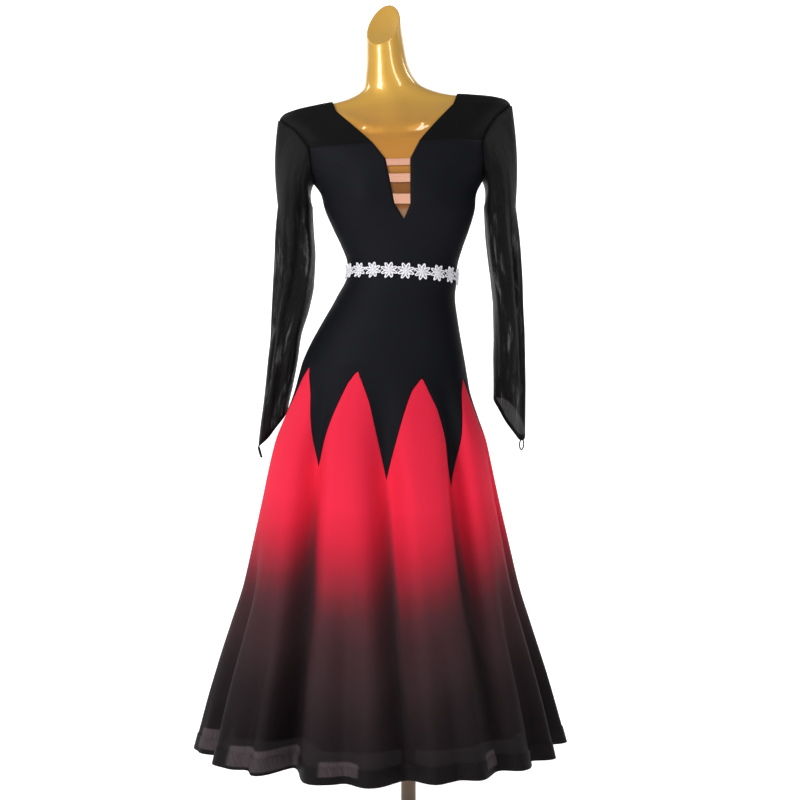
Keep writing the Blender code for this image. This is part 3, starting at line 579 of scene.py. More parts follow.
def tube(path, radius, sides):
    """Points and faces of a round cord along a path, closed at its ends."""
    points = []
    last = len(path) - 1
    for i, point in enumerate(path):
        along = (path[min(i + 1, last)] - path[max(i - 1, 0)]).normalized()
        side = along.cross(Vector((0.0, 1.0, 0.2))).normalized()
        other = along.cross(side)
        for j in range(sides):
            turn = math.tau * j / sides
            points.append(point + radius * (side * math.cos(turn) + other * math.sin(turn)))
    return points, ring_faces(len(path), sides)


def closed_cord(spots, radius):
    """Points and faces of a cord that runs round, from (point, across, out) at each of its spots."""
    sides = CORD_SIDES
    points, faces = [], []
    for point, across, out in spots:
        for j in range(sides):
            spin = math.tau * j / sides
            points.append(point + radius * (across * math.cos(spin) + out * math.sin(spin)))
    for i in range(len(spots)):
        ahead = (i + 1) % len(spots)
        for j in range(sides):
            following = (j + 1) % sides
            faces.append((i * sides + j, i * sides + following, ahead * sides + following, ahead * sides + j))
    return points, faces


def row_lengths(points):
    """Length along a line of points, from its start to each point."""
    lengths = [0.0]
    for a, b in zip(points, points[1:]):
        lengths.append(lengths[-1] + (b - a).length)
    return lengths


def grid_uvs(grid):
    """UV pairs in metres: across from the middle of each row, and up along the middle column."""
    middle = len(grid[0]) // 2
    ups = row_lengths([row[middle][0] for row in grid])
    uvs = []
    for row, up in zip(grid, ups):
        lengths = row_lengths([pair[0] for pair in row])
        uvs.append([(length - lengths[middle], up) for length in lengths])
    return uvs


def grid_area(grid):
    """Area of the outer skin in square metres."""
    total = 0.0
    for low, high in zip(grid, grid[1:]):
        for j in range(len(low) - 1):
            a, b, c, d = low[j][0], low[j + 1][0], high[j + 1][0], high[j][0]
            total += ((b - a).cross(d - a).length + (b - c).cross(d - c).length) / 2.0
    return total


def finish_piece(piece, material, nodes=()):
    piece.data.materials.append(material)
    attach(piece, "root")
    if nodes:
        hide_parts(*nodes)
    return piece


# Materials
class Value:
    """A number or vector in a material. Its operators add the nodes that work it out."""

    def __init__(self, look, socket):
        self.look = look
        self.socket = socket

    def math(self, operation, *others):
        node = self.look.tree.nodes.new("ShaderNodeMath")
        node.operation = operation
        for socket, value in zip(node.inputs, (self,) + others):
            self.look.feed(socket, value)
        return Value(self.look, node.outputs[0])

    def __add__(self, other):
        return self.math("ADD", other)

    __radd__ = __add__

    def __mul__(self, other):
        return self.math("MULTIPLY", other)

    __rmul__ = __mul__

    def __sub__(self, other):
        return self.math("SUBTRACT", other)

    def __rsub__(self, other):
        return (self * -1.0).math("ADD", other)

    def sin(self):
        return self.math("SINE")

    def least(self, other):
        return self.math("MINIMUM", other)

    def smooth(self, low, high):
        """0 at low, 1 at high, smooth between."""
        return self.look.node(
            "ShaderNodeMapRange", "Result",
            {"Value": self, "From Min": low, "From Max": high}, interpolation_type="SMOOTHSTEP",
        )


class Look:
    """One material with a Principled shader, and a method that adds any other node."""

    def __init__(self, name, **constants):
        self.material = bpy.data.materials.new(name)
        self.material.use_nodes = True
        self.tree = self.material.node_tree
        self.shader = self.tree.nodes["Principled BSDF"]
        for key, value in constants.items():
            self.shader.inputs[key.replace("_", " ")].default_value = value

    def feed(self, socket, value):
        if isinstance(value, Value):
            self.tree.links.new(value.socket, socket)
        else:
            socket.default_value = value

    def node(self, kind, output, inputs=None, **settings):
        made = self.tree.nodes.new(kind)
        for key, value in settings.items():
            setattr(made, key, value)
        for key, value in (inputs or {}).items():
            self.feed(made.inputs[key], value)
        return Value(self, made.outputs[output])

    def put(self, name, value):
        self.feed(self.shader.inputs[name], value)

    def attribute(self, name):
        return self.node("ShaderNodeAttribute", "Fac", attribute_name=name)

    def uv(self):
        return self.node("ShaderNodeUVMap", "UV", uv_map="cloth")

    def place(self):
        return self.node("ShaderNodeTexCoord", "Object")

    def split(self, vector):
        parts = self.tree.nodes.new("ShaderNodeSeparateXYZ")
        self.feed(parts.inputs[0], vector)
        return [Value(self, socket) for socket in parts.outputs]

    def scaled(self, vector, scale):
        return self.node(
            "ShaderNodeMapping", "Vector", {"Vector": vector, "Scale": scale},
        )

    def noise(self, vector, scale, detail=3.0, rough=0.5):
        return self.node(
            "ShaderNodeTexNoise", "Fac",
            {"Vector": vector, "Scale": scale, "Detail": detail, "Roughness": rough},
        )

    def mix(self, factor, a, b):
        """Colour between a and b."""
        made = self.tree.nodes.new("ShaderNodeMix")
        made.data_type = "RGBA"
        self.feed(made.inputs[0], factor)
        self.feed(made.inputs[6], a)
        self.feed(made.inputs[7], b)
        return Value(self, made.outputs[2])

    def ramp(self, factor, stops):
        """Colour along a list of (place, colour)."""
        made = self.tree.nodes.new("ShaderNodeValToRGB")
        self.feed(made.inputs[0], factor)
        elements = made.color_ramp.elements
        while len(elements) < len(stops):
            elements.new(0.5)
        for element, (place, colour) in zip(elements, stops):
            element.position = place
            element.color = colour
        return Value(self, made.outputs[0])

    def bump(self, height, distance, strength=1.0):
        self.put("Normal", self.node(
            "ShaderNodeBump", "Normal", {"Height": height, "Distance": distance, "Strength": strength},
        ))


def weave(look, uv, across, up):
    """Height of a plain weave with so many threads a metre across and up."""
    u, v, _ = look.split(uv)
    over = (u * (across * math.pi)).sin()
    under = (v * (up * math.pi)).sin()
    return over * under


def make_jersey():
    look = Look("black jersey", Sheen_Weight=0.020, Sheen_Roughness=0.35, Specular_IOR_Level=0.10)
    look.shader.inputs["Sheen Tint"].default_value = (0.55, 0.58, 0.72, 1.0)
    uv = look.uv()
    u, v, _ = look.split(uv)
    ribs = (u * (900.0 * math.pi)).sin() * ((v * (650.0 * math.pi)).sin() * 0.4 + 0.6)
    cloud = look.noise(look.scaled(look.place(), (9.0, 9.0, 5.0)), 1.0)
    look.put("Base Color", look.mix(cloud, (0.0038, 0.0041, 0.0062, 1.0), (0.0070, 0.0074, 0.0108, 1.0)))
    look.put("Roughness", 0.56 + cloud * 0.12)
    look.bump(ribs, 0.00012, 0.5)
    return look.material


def make_mesh():
    look = Look("black mesh", Specular_IOR_Level=0.14)
    uv = look.uv()
    u, v, _ = look.split(uv)
    cross = ((u + v * 0.577) * 5200.0).sin() * ((u - v * 0.577) * 5200.0).sin()
    hole = cross.smooth(0.35, 0.75)
    dense = look.attribute("dense")
    cloud = look.noise(look.scaled(uv, (30.0, 6.0, 1.0)), 1.0)
    crumple = look.noise(look.scaled(uv, (130.0, 24.0, 1.0)), 1.0, 3.0, 0.6)
    patch = look.noise(look.scaled(uv, (34.0, 11.0, 1.0)), 1.0, 2.0, 0.5)
    _, _, up = look.split(look.place())
    # Painted sheen: grey streaks in the base colour stand in for glossy highlights on the wrinkles, below the
    # shoulders and away from the dense parts.
    streak = crumple.smooth(0.48, 0.70) * patch.smooth(0.47, 0.60) * (1.0 - dense) * up.smooth(1.27, 1.17)
    cover = 0.985 - hole * 0.10 + cloud * 0.015
    look.put("Alpha", (cover + dense).least(1.0))
    black = look.mix(cloud, (0.0016, 0.0016, 0.0019, 1.0), (0.0042, 0.0041, 0.0044, 1.0))
    # The grey is the painted sheen of the streaks.
    look.put("Base Color", look.mix(streak, black, (0.085, 0.084, 0.088, 1.0)))
    look.put("Roughness", 0.50 + dense * 0.32)
    look.bump(cross * 0.06 + (crumple + patch) * (1.0 - dense), 0.0030, 0.8)
    return look.material


CHIFFON_STOPS = (
    # height, colour
    (0.215, (0.0090, 0.0062, 0.0072, 1.0)),
    (0.300, (0.0190, 0.0120, 0.0135, 1.0)),
    (0.365, (0.0380, 0.0200, 0.0230, 1.0)),
    (0.430, (0.0540, 0.0220, 0.0260, 1.0)),
    (0.473, (0.092, 0.024, 0.029, 1.0)),
    (0.507, (0.185, 0.022, 0.031, 1.0)),
    (0.542, (0.350, 0.021, 0.038, 1.0)),
    (0.577, (0.540, 0.019, 0.042, 1.0)),
    (0.612, (0.720, 0.020, 0.050, 1.0)),
    (0.660, (0.850, 0.023, 0.061, 1.0)),
)


def painted_window_glow(look, uv):
    """Share of painted light through the cloth at the open spots near the hem, in threads and soft patches.
    """
    threads = look.noise(look.scaled(uv, (260.0, 20.0, 1.0)), 1.0, 2.0, 0.5)
    return look.attribute("window").smooth(0.30, 0.75) * (0.45 + threads * 0.9)


def make_chiffon():
    look = Look(
        "ombre chiffon", Roughness=0.66, Sheen_Weight=0.015, Sheen_Roughness=0.40,
        Specular_IOR_Level=0.08,
    )
    look.shader.inputs["Sheen Tint"].default_value = (0.95, 0.62, 0.66, 1.0)
    uv = look.uv()
    # This value holds the ombre together with the painted shade of the valleys and the low sides.
    dye_and_shade = look.attribute("dye_and_shade")
    cloud = look.noise(look.scaled(look.place(), (7.0, 7.0, 4.0)), 1.0, 4.0, 0.6)
    streak = look.noise(look.scaled(uv, (55.0, 5.0, 1.0)), 1.0, 3.0, 0.6)
    level = dye_and_shade + (cloud - 0.5) * 0.045 + (streak - 0.5) * 0.020
    dyed_and_shaded = look.ramp(level, CHIFFON_STOPS)
    # Painted light: the base colour lightens at the open spots near the hem, as if light came through.
    look.put("Base Color", look.mix(painted_window_glow(look, uv), dyed_and_shaded, (0.070, 0.054, 0.061, 1.0)))
    sheer = (0.46 - level).smooth(0.0, 0.16)
    look.put("Alpha", 1.0 - sheer * 0.004)
    look.bump(weave(look, uv, 1700.0, 1500.0) + streak * 1.5, 0.00018, 0.5)
    return look.material


def make_lining():
    look = Look("black lining", Roughness=0.55, Sheen_Weight=0.03, Specular_IOR_Level=0.2)
    uv = look.uv()
    cloud = look.noise(look.scaled(look.place(), (8.0, 8.0, 5.0)), 1.0)
    look.put("Base Color", look.mix(cloud, (0.012, 0.009, 0.010, 1.0), (0.022, 0.015, 0.017, 1.0)))
    look.bump(weave(look, uv, 1500.0, 1500.0), 0.00012, 0.4)
    return look.material


def make_braid():
    look = Look("hem braid", Roughness=0.60, Specular_IOR_Level=0.10)
    uv = look.uv()
    u, v, _ = look.split(uv)
    slant = ((u + v) * 1500.0).sin() * ((u - v) * 1500.0).sin()
    black = look.mix(slant.smooth(-0.6, 0.6), (0.0035, 0.0026, 0.0030, 1.0), (0.0100, 0.0074, 0.0085, 1.0))
    # Painted light: the base colour lightens at the open spots near the hem, as if light came through.
    look.put("Base Color", look.mix(painted_window_glow(look, uv), black, (0.060, 0.046, 0.052, 1.0)))
    look.put("Alpha", 1.0 - slant.smooth(0.3, 0.8) * 0.02)
    look.bump(slant, 0.0003, 0.6)
    return look.material


def make_band():
    look = Look("skin elastic", Roughness=0.62, Sheen_Weight=0.05, Specular_IOR_Level=0.2)
    u, v, _ = look.split(look.uv())
    ribs = (v * (1000.0 * math.pi)).sin()
    knots = (u * (1300.0 * math.pi)).sin()
    share = (ribs * 0.5 + 0.5) * 0.8 + knots * 0.1
    look.put("Base Color", look.mix(share, (0.68, 0.31, 0.19, 1.0), (0.93, 0.56, 0.42, 1.0)))
    look.bump(ribs + knots * 0.3, 0.0003, 0.8)
    return look.material


def make_flower():
    look = Look("white braid", Roughness=0.68, Sheen_Weight=0.1, Specular_IOR_Level=0.25)
    low = look.attribute("low")
    grain = look.noise(look.place(), 1600.0, 2.0)
    # Painted shade: the deeper parts are painted purple-grey.
    shade = (low + grain * 0.15).least(1.0)
    look.put("Base Color", look.mix(shade, (0.97, 0.96, 1.0, 1.0), (0.25, 0.22, 0.33, 1.0)))
    look.bump(grain, 0.0003, 0.6)
    return look.material


def make_gold():
    look = Look("gold plating", Metallic=0.22, Coat_Weight=1.0, Coat_Roughness=0.03, Coat_IOR=1.65)
    look.shader.inputs["Specular Tint"].default_value = (1.0, 0.80, 0.40, 1.0)
    _, _, up = look.split(look.place())
    # Painted light: the base colour turns a lighter yellow up the neck as a painted highlight, and dark below
    # the chest as painted shade and the painted reflection of the black cloth.
    neck, above_chest_shade = up.smooth(1.31, 1.44), up.smooth(1.255, 1.290)
    cloud = look.noise(look.place(), 14.0, 4.0, 0.6)
    fine = look.noise(look.place(), 220.0, 2.0)
    brown = look.mix(cloud, (0.56, 0.225, 0.032, 1.0), (0.64, 0.275, 0.042, 1.0))
    # Lighter yellow of the neck: painted highlight.
    painted_highlight_yellow = look.mix(cloud, (0.70, 0.385, 0.062, 1.0), (0.78, 0.445, 0.078, 1.0))
    # Dark gold under the bands: painted shade and painted reflection of the black cloth.
    low = look.mix(cloud, (0.20, 0.066, 0.012, 1.0), (0.34, 0.120, 0.022, 1.0))
    look.put("Base Color", look.mix(above_chest_shade, low, look.mix(neck, brown, painted_highlight_yellow)))
    look.put("Roughness", 0.30 + cloud * 0.08 + fine * 0.03)
    look.bump(cloud, 0.0004, 0.25)
    return look.material


def make_bronze():
    look = Look("bronze lacquer", Metallic=0.9, Coat_Weight=0.25, Coat_Roughness=0.15)
    cloud = look.noise(look.place(), 20.0, 5.0, 0.6)
    fine = look.noise(look.scaled(look.place(), (600.0, 600.0, 40.0)), 1.0, 2.0)
    look.put("Base Color", look.mix(cloud, (0.10, 0.066, 0.046, 1.0), (0.16, 0.11, 0.078, 1.0)))
    look.put("Roughness", 0.28 + cloud * 0.14 + fine * 0.05)
    look.bump(fine, 0.0001, 0.3)
    return look.material


def make_elastic():
    look = Look("black elastic", Roughness=0.7, Specular_IOR_Level=0.15)
    grain = look.noise(look.place(), 2200.0, 2.0)
    look.put("Base Color", look.mix(grain, (0.004, 0.004, 0.005, 1.0), (0.012, 0.012, 0.014, 1.0)))
    look.bump(grain, 0.0002, 0.5)
    return look.material


JERSEY, MESH, CHIFFON, LINING = make_jersey(), make_mesh(), make_chiffon(), make_lining()
BRAID, BAND, FLOWER = make_braid(), make_band(), make_flower()
GOLD, BRONZE, ELASTIC = make_gold(), make_bronze(), make_elastic()


# Cloth pieces
THIN = 0.0009            # thickness of the jersey as shown
ROLL = 0.0006            # how far an edge turns in at its seam
GODET_COLUMNS = 40       # columns a lobe of the godets and the braid
HIP_COLUMNS = 24         # columns a lobe of the hip pieces
HIP_ROWS = 30            # rows of their points
LINING_COLUMNS = 24      # columns a lobe of the underskirt

# Soft folds that are too slight for the valleys' table: ridges above zero, troughs below
RIPPLES = (
    # angle at the hem, turn for each metre up, width, depth, height where it starts
    (-176.0, 3.0, 0.020, 0.0060, 0.62), (-168.0, -4.0, 0.011, -0.0040, 0.46),
    (-158.0, 5.0, 0.024, 0.0055, 0.66), (-147.0, -6.0, 0.014, -0.0045, 0.50),
    (-139.0, 2.0, 0.013, 0.0035, 0.42), (-124.0, 6.0, 0.022, 0.0060, 0.64),
    (-116.0, -3.0, 0.012, -0.0040, 0.44), (-99.0, 4.0, 0.020, 0.0050, 0.60),
    (-93.0, -5.0, 0.011, -0.0032, 0.40), (-78.0, 6.0, 0.017, 0.0050, 0.56),
    (-72.0, 2.0, 0.010, -0.0036, 0.42), (-56.0, -7.0, 0.020, 0.0048, 0.62),
    (-50.0, 3.0, 0.010, -0.0030, 0.38), (-37.0, 8.0, 0.013, 0.0038, 0.50),
    (-21.0, -5.0, 0.016, 0.0046, 0.58), (-15.0, 2.0, 0.011, -0.0036, 0.44),
    (-3.0, 6.0, 0.020, 0.0052, 0.64), (3.5, -2.0, 0.010, -0.0030, 0.40),
    (15.0, -6.0, 0.018, 0.0046, 0.60), (19.5, 3.0, 0.011, -0.0034, 0.46),
    (30.0, 5.0, 0.014, 0.0042, 0.52), (45.0, -8.0, 0.016, 0.0050, 0.60),
    (51.0, 2.0, 0.010, -0.0034, 0.40), (63.0, 6.0, 0.019, 0.0050, 0.58),
    (70.0, -3.0, 0.011, -0.0032, 0.44), (83.0, 5.0, 0.018, 0.0052, 0.62),
    (91.0, -4.0, 0.012, -0.0040, 0.42), (106.0, 4.0, 0.020, 0.0052, 0.60),
    (113.0, -2.0, 0.011, -0.0036, 0.40), (131.0, 6.0, 0.019, 0.0056, 0.64),
    (140.0, -5.0, 0.013, -0.0040, 0.46), (158.0, 3.0, 0.022, 0.0058, 0.62),
    (167.0, -4.0, 0.012, -0.0036, 0.42), (173.0, 2.0, 0.013, 0.0034, 0.36),
)

# Soft creases of the bodice and hips
CREASES = (
    # angle and height of one end, of the other end, width, depth
    (-86.0, 1.262, -58.0, 1.238, 0.006, -0.0012), (-90.0, 1.247, -66.0, 1.219, 0.007, -0.0010),
    (86.0, 1.262, 60.0, 1.240, 0.006, -0.0012), (90.0, 1.243, 69.0, 1.222, 0.007, -0.0010),
    (-84.0, 1.127, -52.0, 1.121, 0.004, -0.0009), (-70.0, 1.139, -30.0, 1.129, 0.005, -0.0007),
    (82.0, 1.124, 55.0, 1.127, 0.004, -0.0009), (74.0, 1.141, 36.0, 1.128, 0.005, -0.0007),
    (-88.0, 1.071, -50.0, 1.066, 0.004, -0.0009), (-80.0, 1.056, -40.0, 1.047, 0.006, -0.0007),
    (86.0, 1.067, 50.0, 1.061, 0.004, -0.0009), (78.0, 1.050, 44.0, 1.046, 0.006, -0.0006),
    (120.0, 1.124, 168.0, 1.119, 0.005, -0.0012), (110.0, 1.143, 160.0, 1.136, 0.006, -0.0010),
    (192.0, 1.118, 240.0, 1.126, 0.005, -0.0012), (204.0, 1.139, 250.0, 1.145, 0.006, -0.0010),
    (150.0, 1.158, 205.0, 1.154, 0.007, -0.0008), (130.0, 1.062, 176.0, 1.069, 0.005, -0.0010),
    (186.0, 1.068, 232.0, 1.060, 0.005, -0.0010), (100.0, 1.255, 126.0, 1.228, 0.007, -0.0011),
    (260.0, 1.255, 234.0, 1.226, 0.007, -0.0011),
)
CREASE_RADIUS = 0.115

# Drape folds of the sleeves
SLEEVE_DRAPES = {
    "left": (
        # turn at the top, at the bottom, upper z, lower z, width in degrees, depth
        (96.0, 60.0, 1.27, 0.98, 11.0, 0.0052), (124.0, 84.0, 1.25, 1.04, 9.0, -0.0046),
        (70.0, 40.0, 1.20, 0.90, 9.0, -0.0050), (48.0, 74.0, 1.12, 0.84, 10.0, 0.0044),
        (140.0, 110.0, 1.18, 0.92, 10.0, 0.0050), (30.0, 52.0, 1.05, 0.82, 7.0, -0.0034),
        (110.0, 128.0, 1.04, 0.86, 8.0, -0.0036), (16.0, 8.0, 1.22, 0.96, 10.0, 0.0036),
        (205.0, 232.0, 1.24, 0.92, 12.0, 0.0050), (236.0, 262.0, 1.20, 0.88, 10.0, -0.0046),
        (270.0, 286.0, 1.18, 0.86, 11.0, 0.0048), (308.0, 300.0, 1.24, 0.94, 10.0, -0.0040),
    ),
    "right": (
        (88.0, 66.0, 1.26, 0.96, 11.0, 0.0050), (118.0, 92.0, 1.24, 1.00, 9.0, -0.0044),
        (60.0, 38.0, 1.22, 0.88, 9.0, -0.0048), (36.0, 62.0, 1.14, 0.84, 10.0, 0.0042),
        (146.0, 118.0, 1.16, 0.90, 10.0, 0.0048), (22.0, 30.0, 1.02, 0.82, 7.0, -0.0032),
        (104.0, 122.0, 1.02, 0.84, 8.0, -0.0034), (8.0, 14.0, 1.20, 0.96, 9.0, 0.0036),
        (212.0, 226.0, 1.24, 0.90, 12.0, 0.0050), (242.0, 268.0, 1.20, 0.88, 10.0, -0.0044),
        (276.0, 284.0, 1.18, 0.86, 11.0, 0.0046), (312.0, 296.0, 1.24, 0.94, 10.0, -0.0040),
    ),
}
SLEEVE_WRINKLES = {
    "left": (
        # turn, z, half length in degrees, drop from end to end, width, depth
        (80.0, 1.105, 55.0, 0.022, 0.0060, -0.0030), (60.0, 1.078, 50.0, -0.018, 0.0055, -0.0028),
        (100.0, 1.052, 60.0, 0.020, 0.0065, -0.0032), (70.0, 1.026, 46.0, -0.014, 0.0055, -0.0024),
        (250.0, 1.092, 60.0, 0.018, 0.0065, -0.0030), (262.0, 1.055, 55.0, -0.016, 0.0060, -0.0028),
        (110.0, 1.215, 46.0, 0.030, 0.0070, -0.0028), (60.0, 0.905, 60.0, 0.016, 0.0055, -0.0022),
        (90.0, 0.882, 50.0, -0.012, 0.0050, -0.0020),
    ),
    "right": (
        (78.0, 1.100, 52.0, -0.020, 0.0060, -0.0028), (94.0, 1.070, 50.0, 0.018, 0.0055, -0.0028),
        (66.0, 1.044, 58.0, -0.018, 0.0065, -0.0030), (96.0, 1.018, 44.0, 0.014, 0.0055, -0.0024),
        (254.0, 1.088, 60.0, -0.018, 0.0065, -0.0030), (266.0, 1.050, 55.0, 0.016, 0.0060, -0.0028),
        (112.0, 1.218, 46.0, -0.028, 0.0070, -0.0028), (70.0, 0.908, 58.0, -0.014, 0.0055, -0.0022),
        (96.0, 0.886, 50.0, 0.012, 0.0050, -0.0020),
    ),
}


def turned(angle):
    """The same angle between -180 and 180."""
    return (angle + 180.0) % 360.0 - 180.0


def skirt_surface(angle, z):
    """The skirt with its valleys and soft ripples."""
    point = pull_folds(section_point(CLOTH, angle, z), angle, z)
    radius = point.xy.length
    lift = 0.0
    for hem_angle, drift, width, depth, start in RIPPLES:
        if z > start:
            continue
        reach = math.radians(turned(angle - hem_angle - drift * (z - HEM))) * radius / width
        if abs(reach) < 3.0:
            lift += depth * fade(0.0, 0.30, start - z) * math.exp(-reach * reach)
    turn = math.radians(angle)
    return settle(point + lift * Vector((math.sin(turn), -math.cos(turn), 0.0)), z)


def crease_lift(angle, z):
    """Height of the soft creases above the smooth cloth."""
    lift = 0.0
    for angle_a, z_a, angle_b, z_b, width, depth in CREASES:
        if abs(z - (z_a + z_b) / 2.0) > abs(z_a - z_b) / 2.0 + 3.0 * width:
            continue
        spot = Vector((math.radians(turned(angle - angle_a)) * CREASE_RADIUS, z - z_a))
        line = Vector((math.radians(angle_b - angle_a) * CREASE_RADIUS, z_b - z_a))
        t = min(1.0, max(0.0, spot.dot(line) / line.length_squared))
        away = (spot - line * t).length / width
        if away < 3.0:
            lift += depth * math.exp(-away * away) * (1.0 - (2.0 * t - 1.0) ** 4)
    return lift


def finer(heights, step):
    """The same heights with more between them, none further apart than step."""
    made = []
    for low, high in zip(heights, heights[1:]):
        count = max(1, math.ceil((high - low) / step))
        made += [blend(low, high, k / count) for k in range(count)]
    return made + [heights[-1]]


def edge_dip(place, last):
    return ROLL if place in (0, last) else (0.3 * ROLL if place in (1, last - 1) else 0.0)


def jersey_panel(name, spots, nodes, slit=None):
    """Jersey wall from rows of (angle, z), rolled in at its edges, creased, as one piece."""
    rows, columns = len(spots), len(spots[0])
    grid = []
    for i, line in enumerate(spots):
        row = []
        for j, (angle, z) in enumerate(line):
            dip = max(edge_dip(i, rows - 1), edge_dip(j, columns - 1))
            if slit and i > slit[1] and j in (slit[0], slit[0] + 1):
                dip = ROLL * 0.5
            surface = skirt_surface if z < HIP_LEVEL else cloth_base
            row.append(cloth_pair(angle, z, WALL - THIN - dip + crease_lift(angle, z), THIN, surface))
        grid.append(row)
    piece = cloth_grid(name, grid, grid_uvs(grid), slit=slit)
    finish_piece(piece, JERSEY, nodes)
    return piece, grid


def cut_size(grid):
    """Flat width and length of a panel, and its area."""
    width = max(row_lengths([pair[0] for pair in row])[-1] for row in grid)
    lengths = []
    for j in range(0, len(grid[0]), 4):
        lengths.append(row_lengths([row[j][0] for row in grid])[-1])
    area = grid_area(grid)
    length = max(lengths)
    # A zigzag edge is longer than the cloth is wide
    width = round(min(max(width, area / length), area / length / 0.45), 3)
    length = round(length, 3)
    return (width, length), round(min(area, width * length * 0.999), 4)


def say_sheet(grid):
    flat, area = cut_size(grid)


def make_bodice():
    heights = finer((WAIST + SEAM / 2,) + BODICE_HEIGHTS + (YOKE_SEAM,), 0.0055)
    half = 40
    front, back = [], []
    for z in heights:
        side = side_angle(z)
        row = []
        for turned_side in (-1.0, 1.0):
            edge = angle_at(notch_middle(z) + turned_side * notch_half(z), z)
            line = [(blend(turned_side * side, edge, j / half), z) for j in range(half + 1)]
            row += line[::int(-turned_side)]
        front.append(row)
        back.append([(180.0 - side + 2.0 * side * j / (2 * half), z) for j in range(2 * half + 1)])
    slit = (half, heights.index(NOTCH_BOTTOM[1]))
    piece, grid = jersey_panel("front_bodice", front, ["bodice_front"], slit)
    say_sheet(grid)
    piece, grid = jersey_panel("back_bodice", back, ["bodice_back"])
    say_sheet(grid)


def make_hips():
    for name, node, start in (("front_hip", "hip_front", 0), ("back_hip", "hip_back", LOBES // 2)):
        steps = HIP_COLUMNS * LOBES // 2
        places = [start + j / HIP_COLUMNS for j in range(steps + 1)]
        upper = finer(HIP_HEIGHTS + (WAIST - SEAM / 2,), 0.007)

        def spot(j, z):
            shift = HIP_SEAM_TURN * ((j == 0) - (j == steps))
            return lobe_angle(places[j], z) + shift, z

        spots = []
        for i in range(HIP_ROWS):
            heights = [blend(zigzag(q), upper[0], i / HIP_ROWS) for q in places]
            spots.append([spot(j, z) for j, z in enumerate(heights)])
        spots += [[spot(j, z) for j in range(steps + 1)] for z in upper]
        piece, grid = jersey_panel(name, spots, [node])
        say_sheet(grid)


def dye_and_shade_height(angle, z):
    """Height on the ombre's colour scale, lowered so the dark reaches higher: in the valleys as painted
    shade, at the sides with painted shade added low down, a little unevenly round the lobes, and on one lobe
    low down.
    """
    side = math.sin(math.radians(angle)) ** 2
    low = fade(0.62, 0.34, z)
    # Painted shade in the valleys: wide on one flank, sharp on the other.
    valley_shade = 0.0
    for fold in FOLDS[:LOBES]:
        away = turned(angle - fold_angle(fold, z) - 0.5)
        away /= 6.5 if away < 0.0 else 1.3
        if abs(away) < 3.0:
            valley_shade += math.exp(-away * away)
    uneven = math.sin(math.radians(angle * 3.0 + 40.0))
    shade = 0.028 * math.exp(-(turned(angle - 26.0) / 12.0) ** 2)
    # The sides are darker, with painted shade added low down.
    return z - (0.040 + 0.050 * low) * side - 0.066 * valley_shade + 0.007 * uneven - shade * low


# Spots near the hem where the chiffon hangs clear of the cloth behind it, and light through it is painted
# into the colour
WINDOWS = (
    # angle, height, half width in degrees, half height, strength
    (-66.0, 0.242, 7.0, 0.018, 1.0), (-38.0, 0.238, 12.0, 0.017, 1.0), (-11.0, 0.240, 6.0, 0.012, 0.9),
    (36.0, 0.240, 3.0, 0.014, 0.8), (53.0, 0.240, 2.5, 0.009, 0.7), (112.0, 0.241, 8.0, 0.014, 0.9),
    (150.0, 0.240, 6.0, 0.012, 0.8), (206.0, 0.239, 10.0, 0.015, 0.9), (248.0, 0.241, 7.0, 0.014, 0.8),
)


def window_share(angle, z):
    share = 0.0
    for middle, height, wide, tall, strength in WINDOWS:
        spot = max(abs(turned(angle - middle)) / wide, abs(z - height) / tall)
        share = max(share, strength * fade(1.3, 0.7, spot))
    return share


def make_godets():
    columns, rows = GODET_COLUMNS, 72
    for index in range(LOBES):
        grid, dyes_and_shades, windows = [], [], []
        for i in range(rows + 1):
            row, dye_and_shade, window = [], [], []
            for j in range(columns + 1):
                q = index + j / columns
                z = blend(HEM, zigzag(q) - ZIGZAG_GAP, (i / rows) ** 1.25)
                angle = lobe_angle(q, z)
                dip = max(edge_dip(i, rows) if i else 0.0, edge_dip(j, columns))
                row.append(cloth_pair(angle, z, WALL - THIN - dip, THIN, skirt_surface))
                # Ombre height with the painted shade of the valleys and sides.
                dye_and_shade.append(dye_and_shade_height(angle, z))
                window.append(window_share(angle, z))
            grid.append(row)
            dyes_and_shades.append(dye_and_shade)
            windows.append(window)
        name = "godet_panel_%d" % (index + 1)
        shown = {"dye_and_shade": dyes_and_shades, "window": windows}
        piece = cloth_grid(name, grid, grid_uvs(grid), shown, two_sided=False)
        finish_piece(piece, CHIFFON, ["godet_%d" % (index + 1)])
        say_sheet(grid)


def make_hem_braid():
    columns, rows = LOBES * GODET_COLUMNS, 10
    grid, windows = [], []
    for i in range(rows + 1):
        z = blend(HEM, HEM + BRAID_WIDTH, i / rows)
        angles = [lobe_angle(j / GODET_COLUMNS, z) for j in range(columns)]
        grid.append([cloth_pair(angle, z, WALL + LAP, BRAID_WALL, skirt_surface) for angle in angles])
        windows.append([window_share(angle, z) for angle in angles])
    piece = cloth_grid("crin_hem", grid, grid_uvs(grid), {"window": windows}, closed=True, two_sided=False)
    finish_piece(piece, BRAID, ["hem_braid"])
    around = sum((grid[3][(j + 1) % columns][0] - grid[3][j][0]).length for j in range(columns))


def make_underskirt():
    columns, rows = LOBES * LINING_COLUMNS, 44
    grid = []
    for i in range(rows + 1):
        z = blend(LINING_HEM, LINING_TOP, i / rows)
        grid.append([
            cloth_pair(lobe_angle(j / LINING_COLUMNS, z), z, -WALL, WALL, lining_base) for j in range(columns)
        ])
    piece = cloth_grid("lining_skirt", grid, grid_uvs(grid), closed=True, two_sided=False)
    finish_piece(piece, LINING, ["underskirt_%d" % k for k in range(1, 5)])
    around = sum((grid[0][(j + 1) % columns][0] - grid[0][j][0]).length for j in range(columns))
    area = grid_area([row + row[:1] for row in grid])


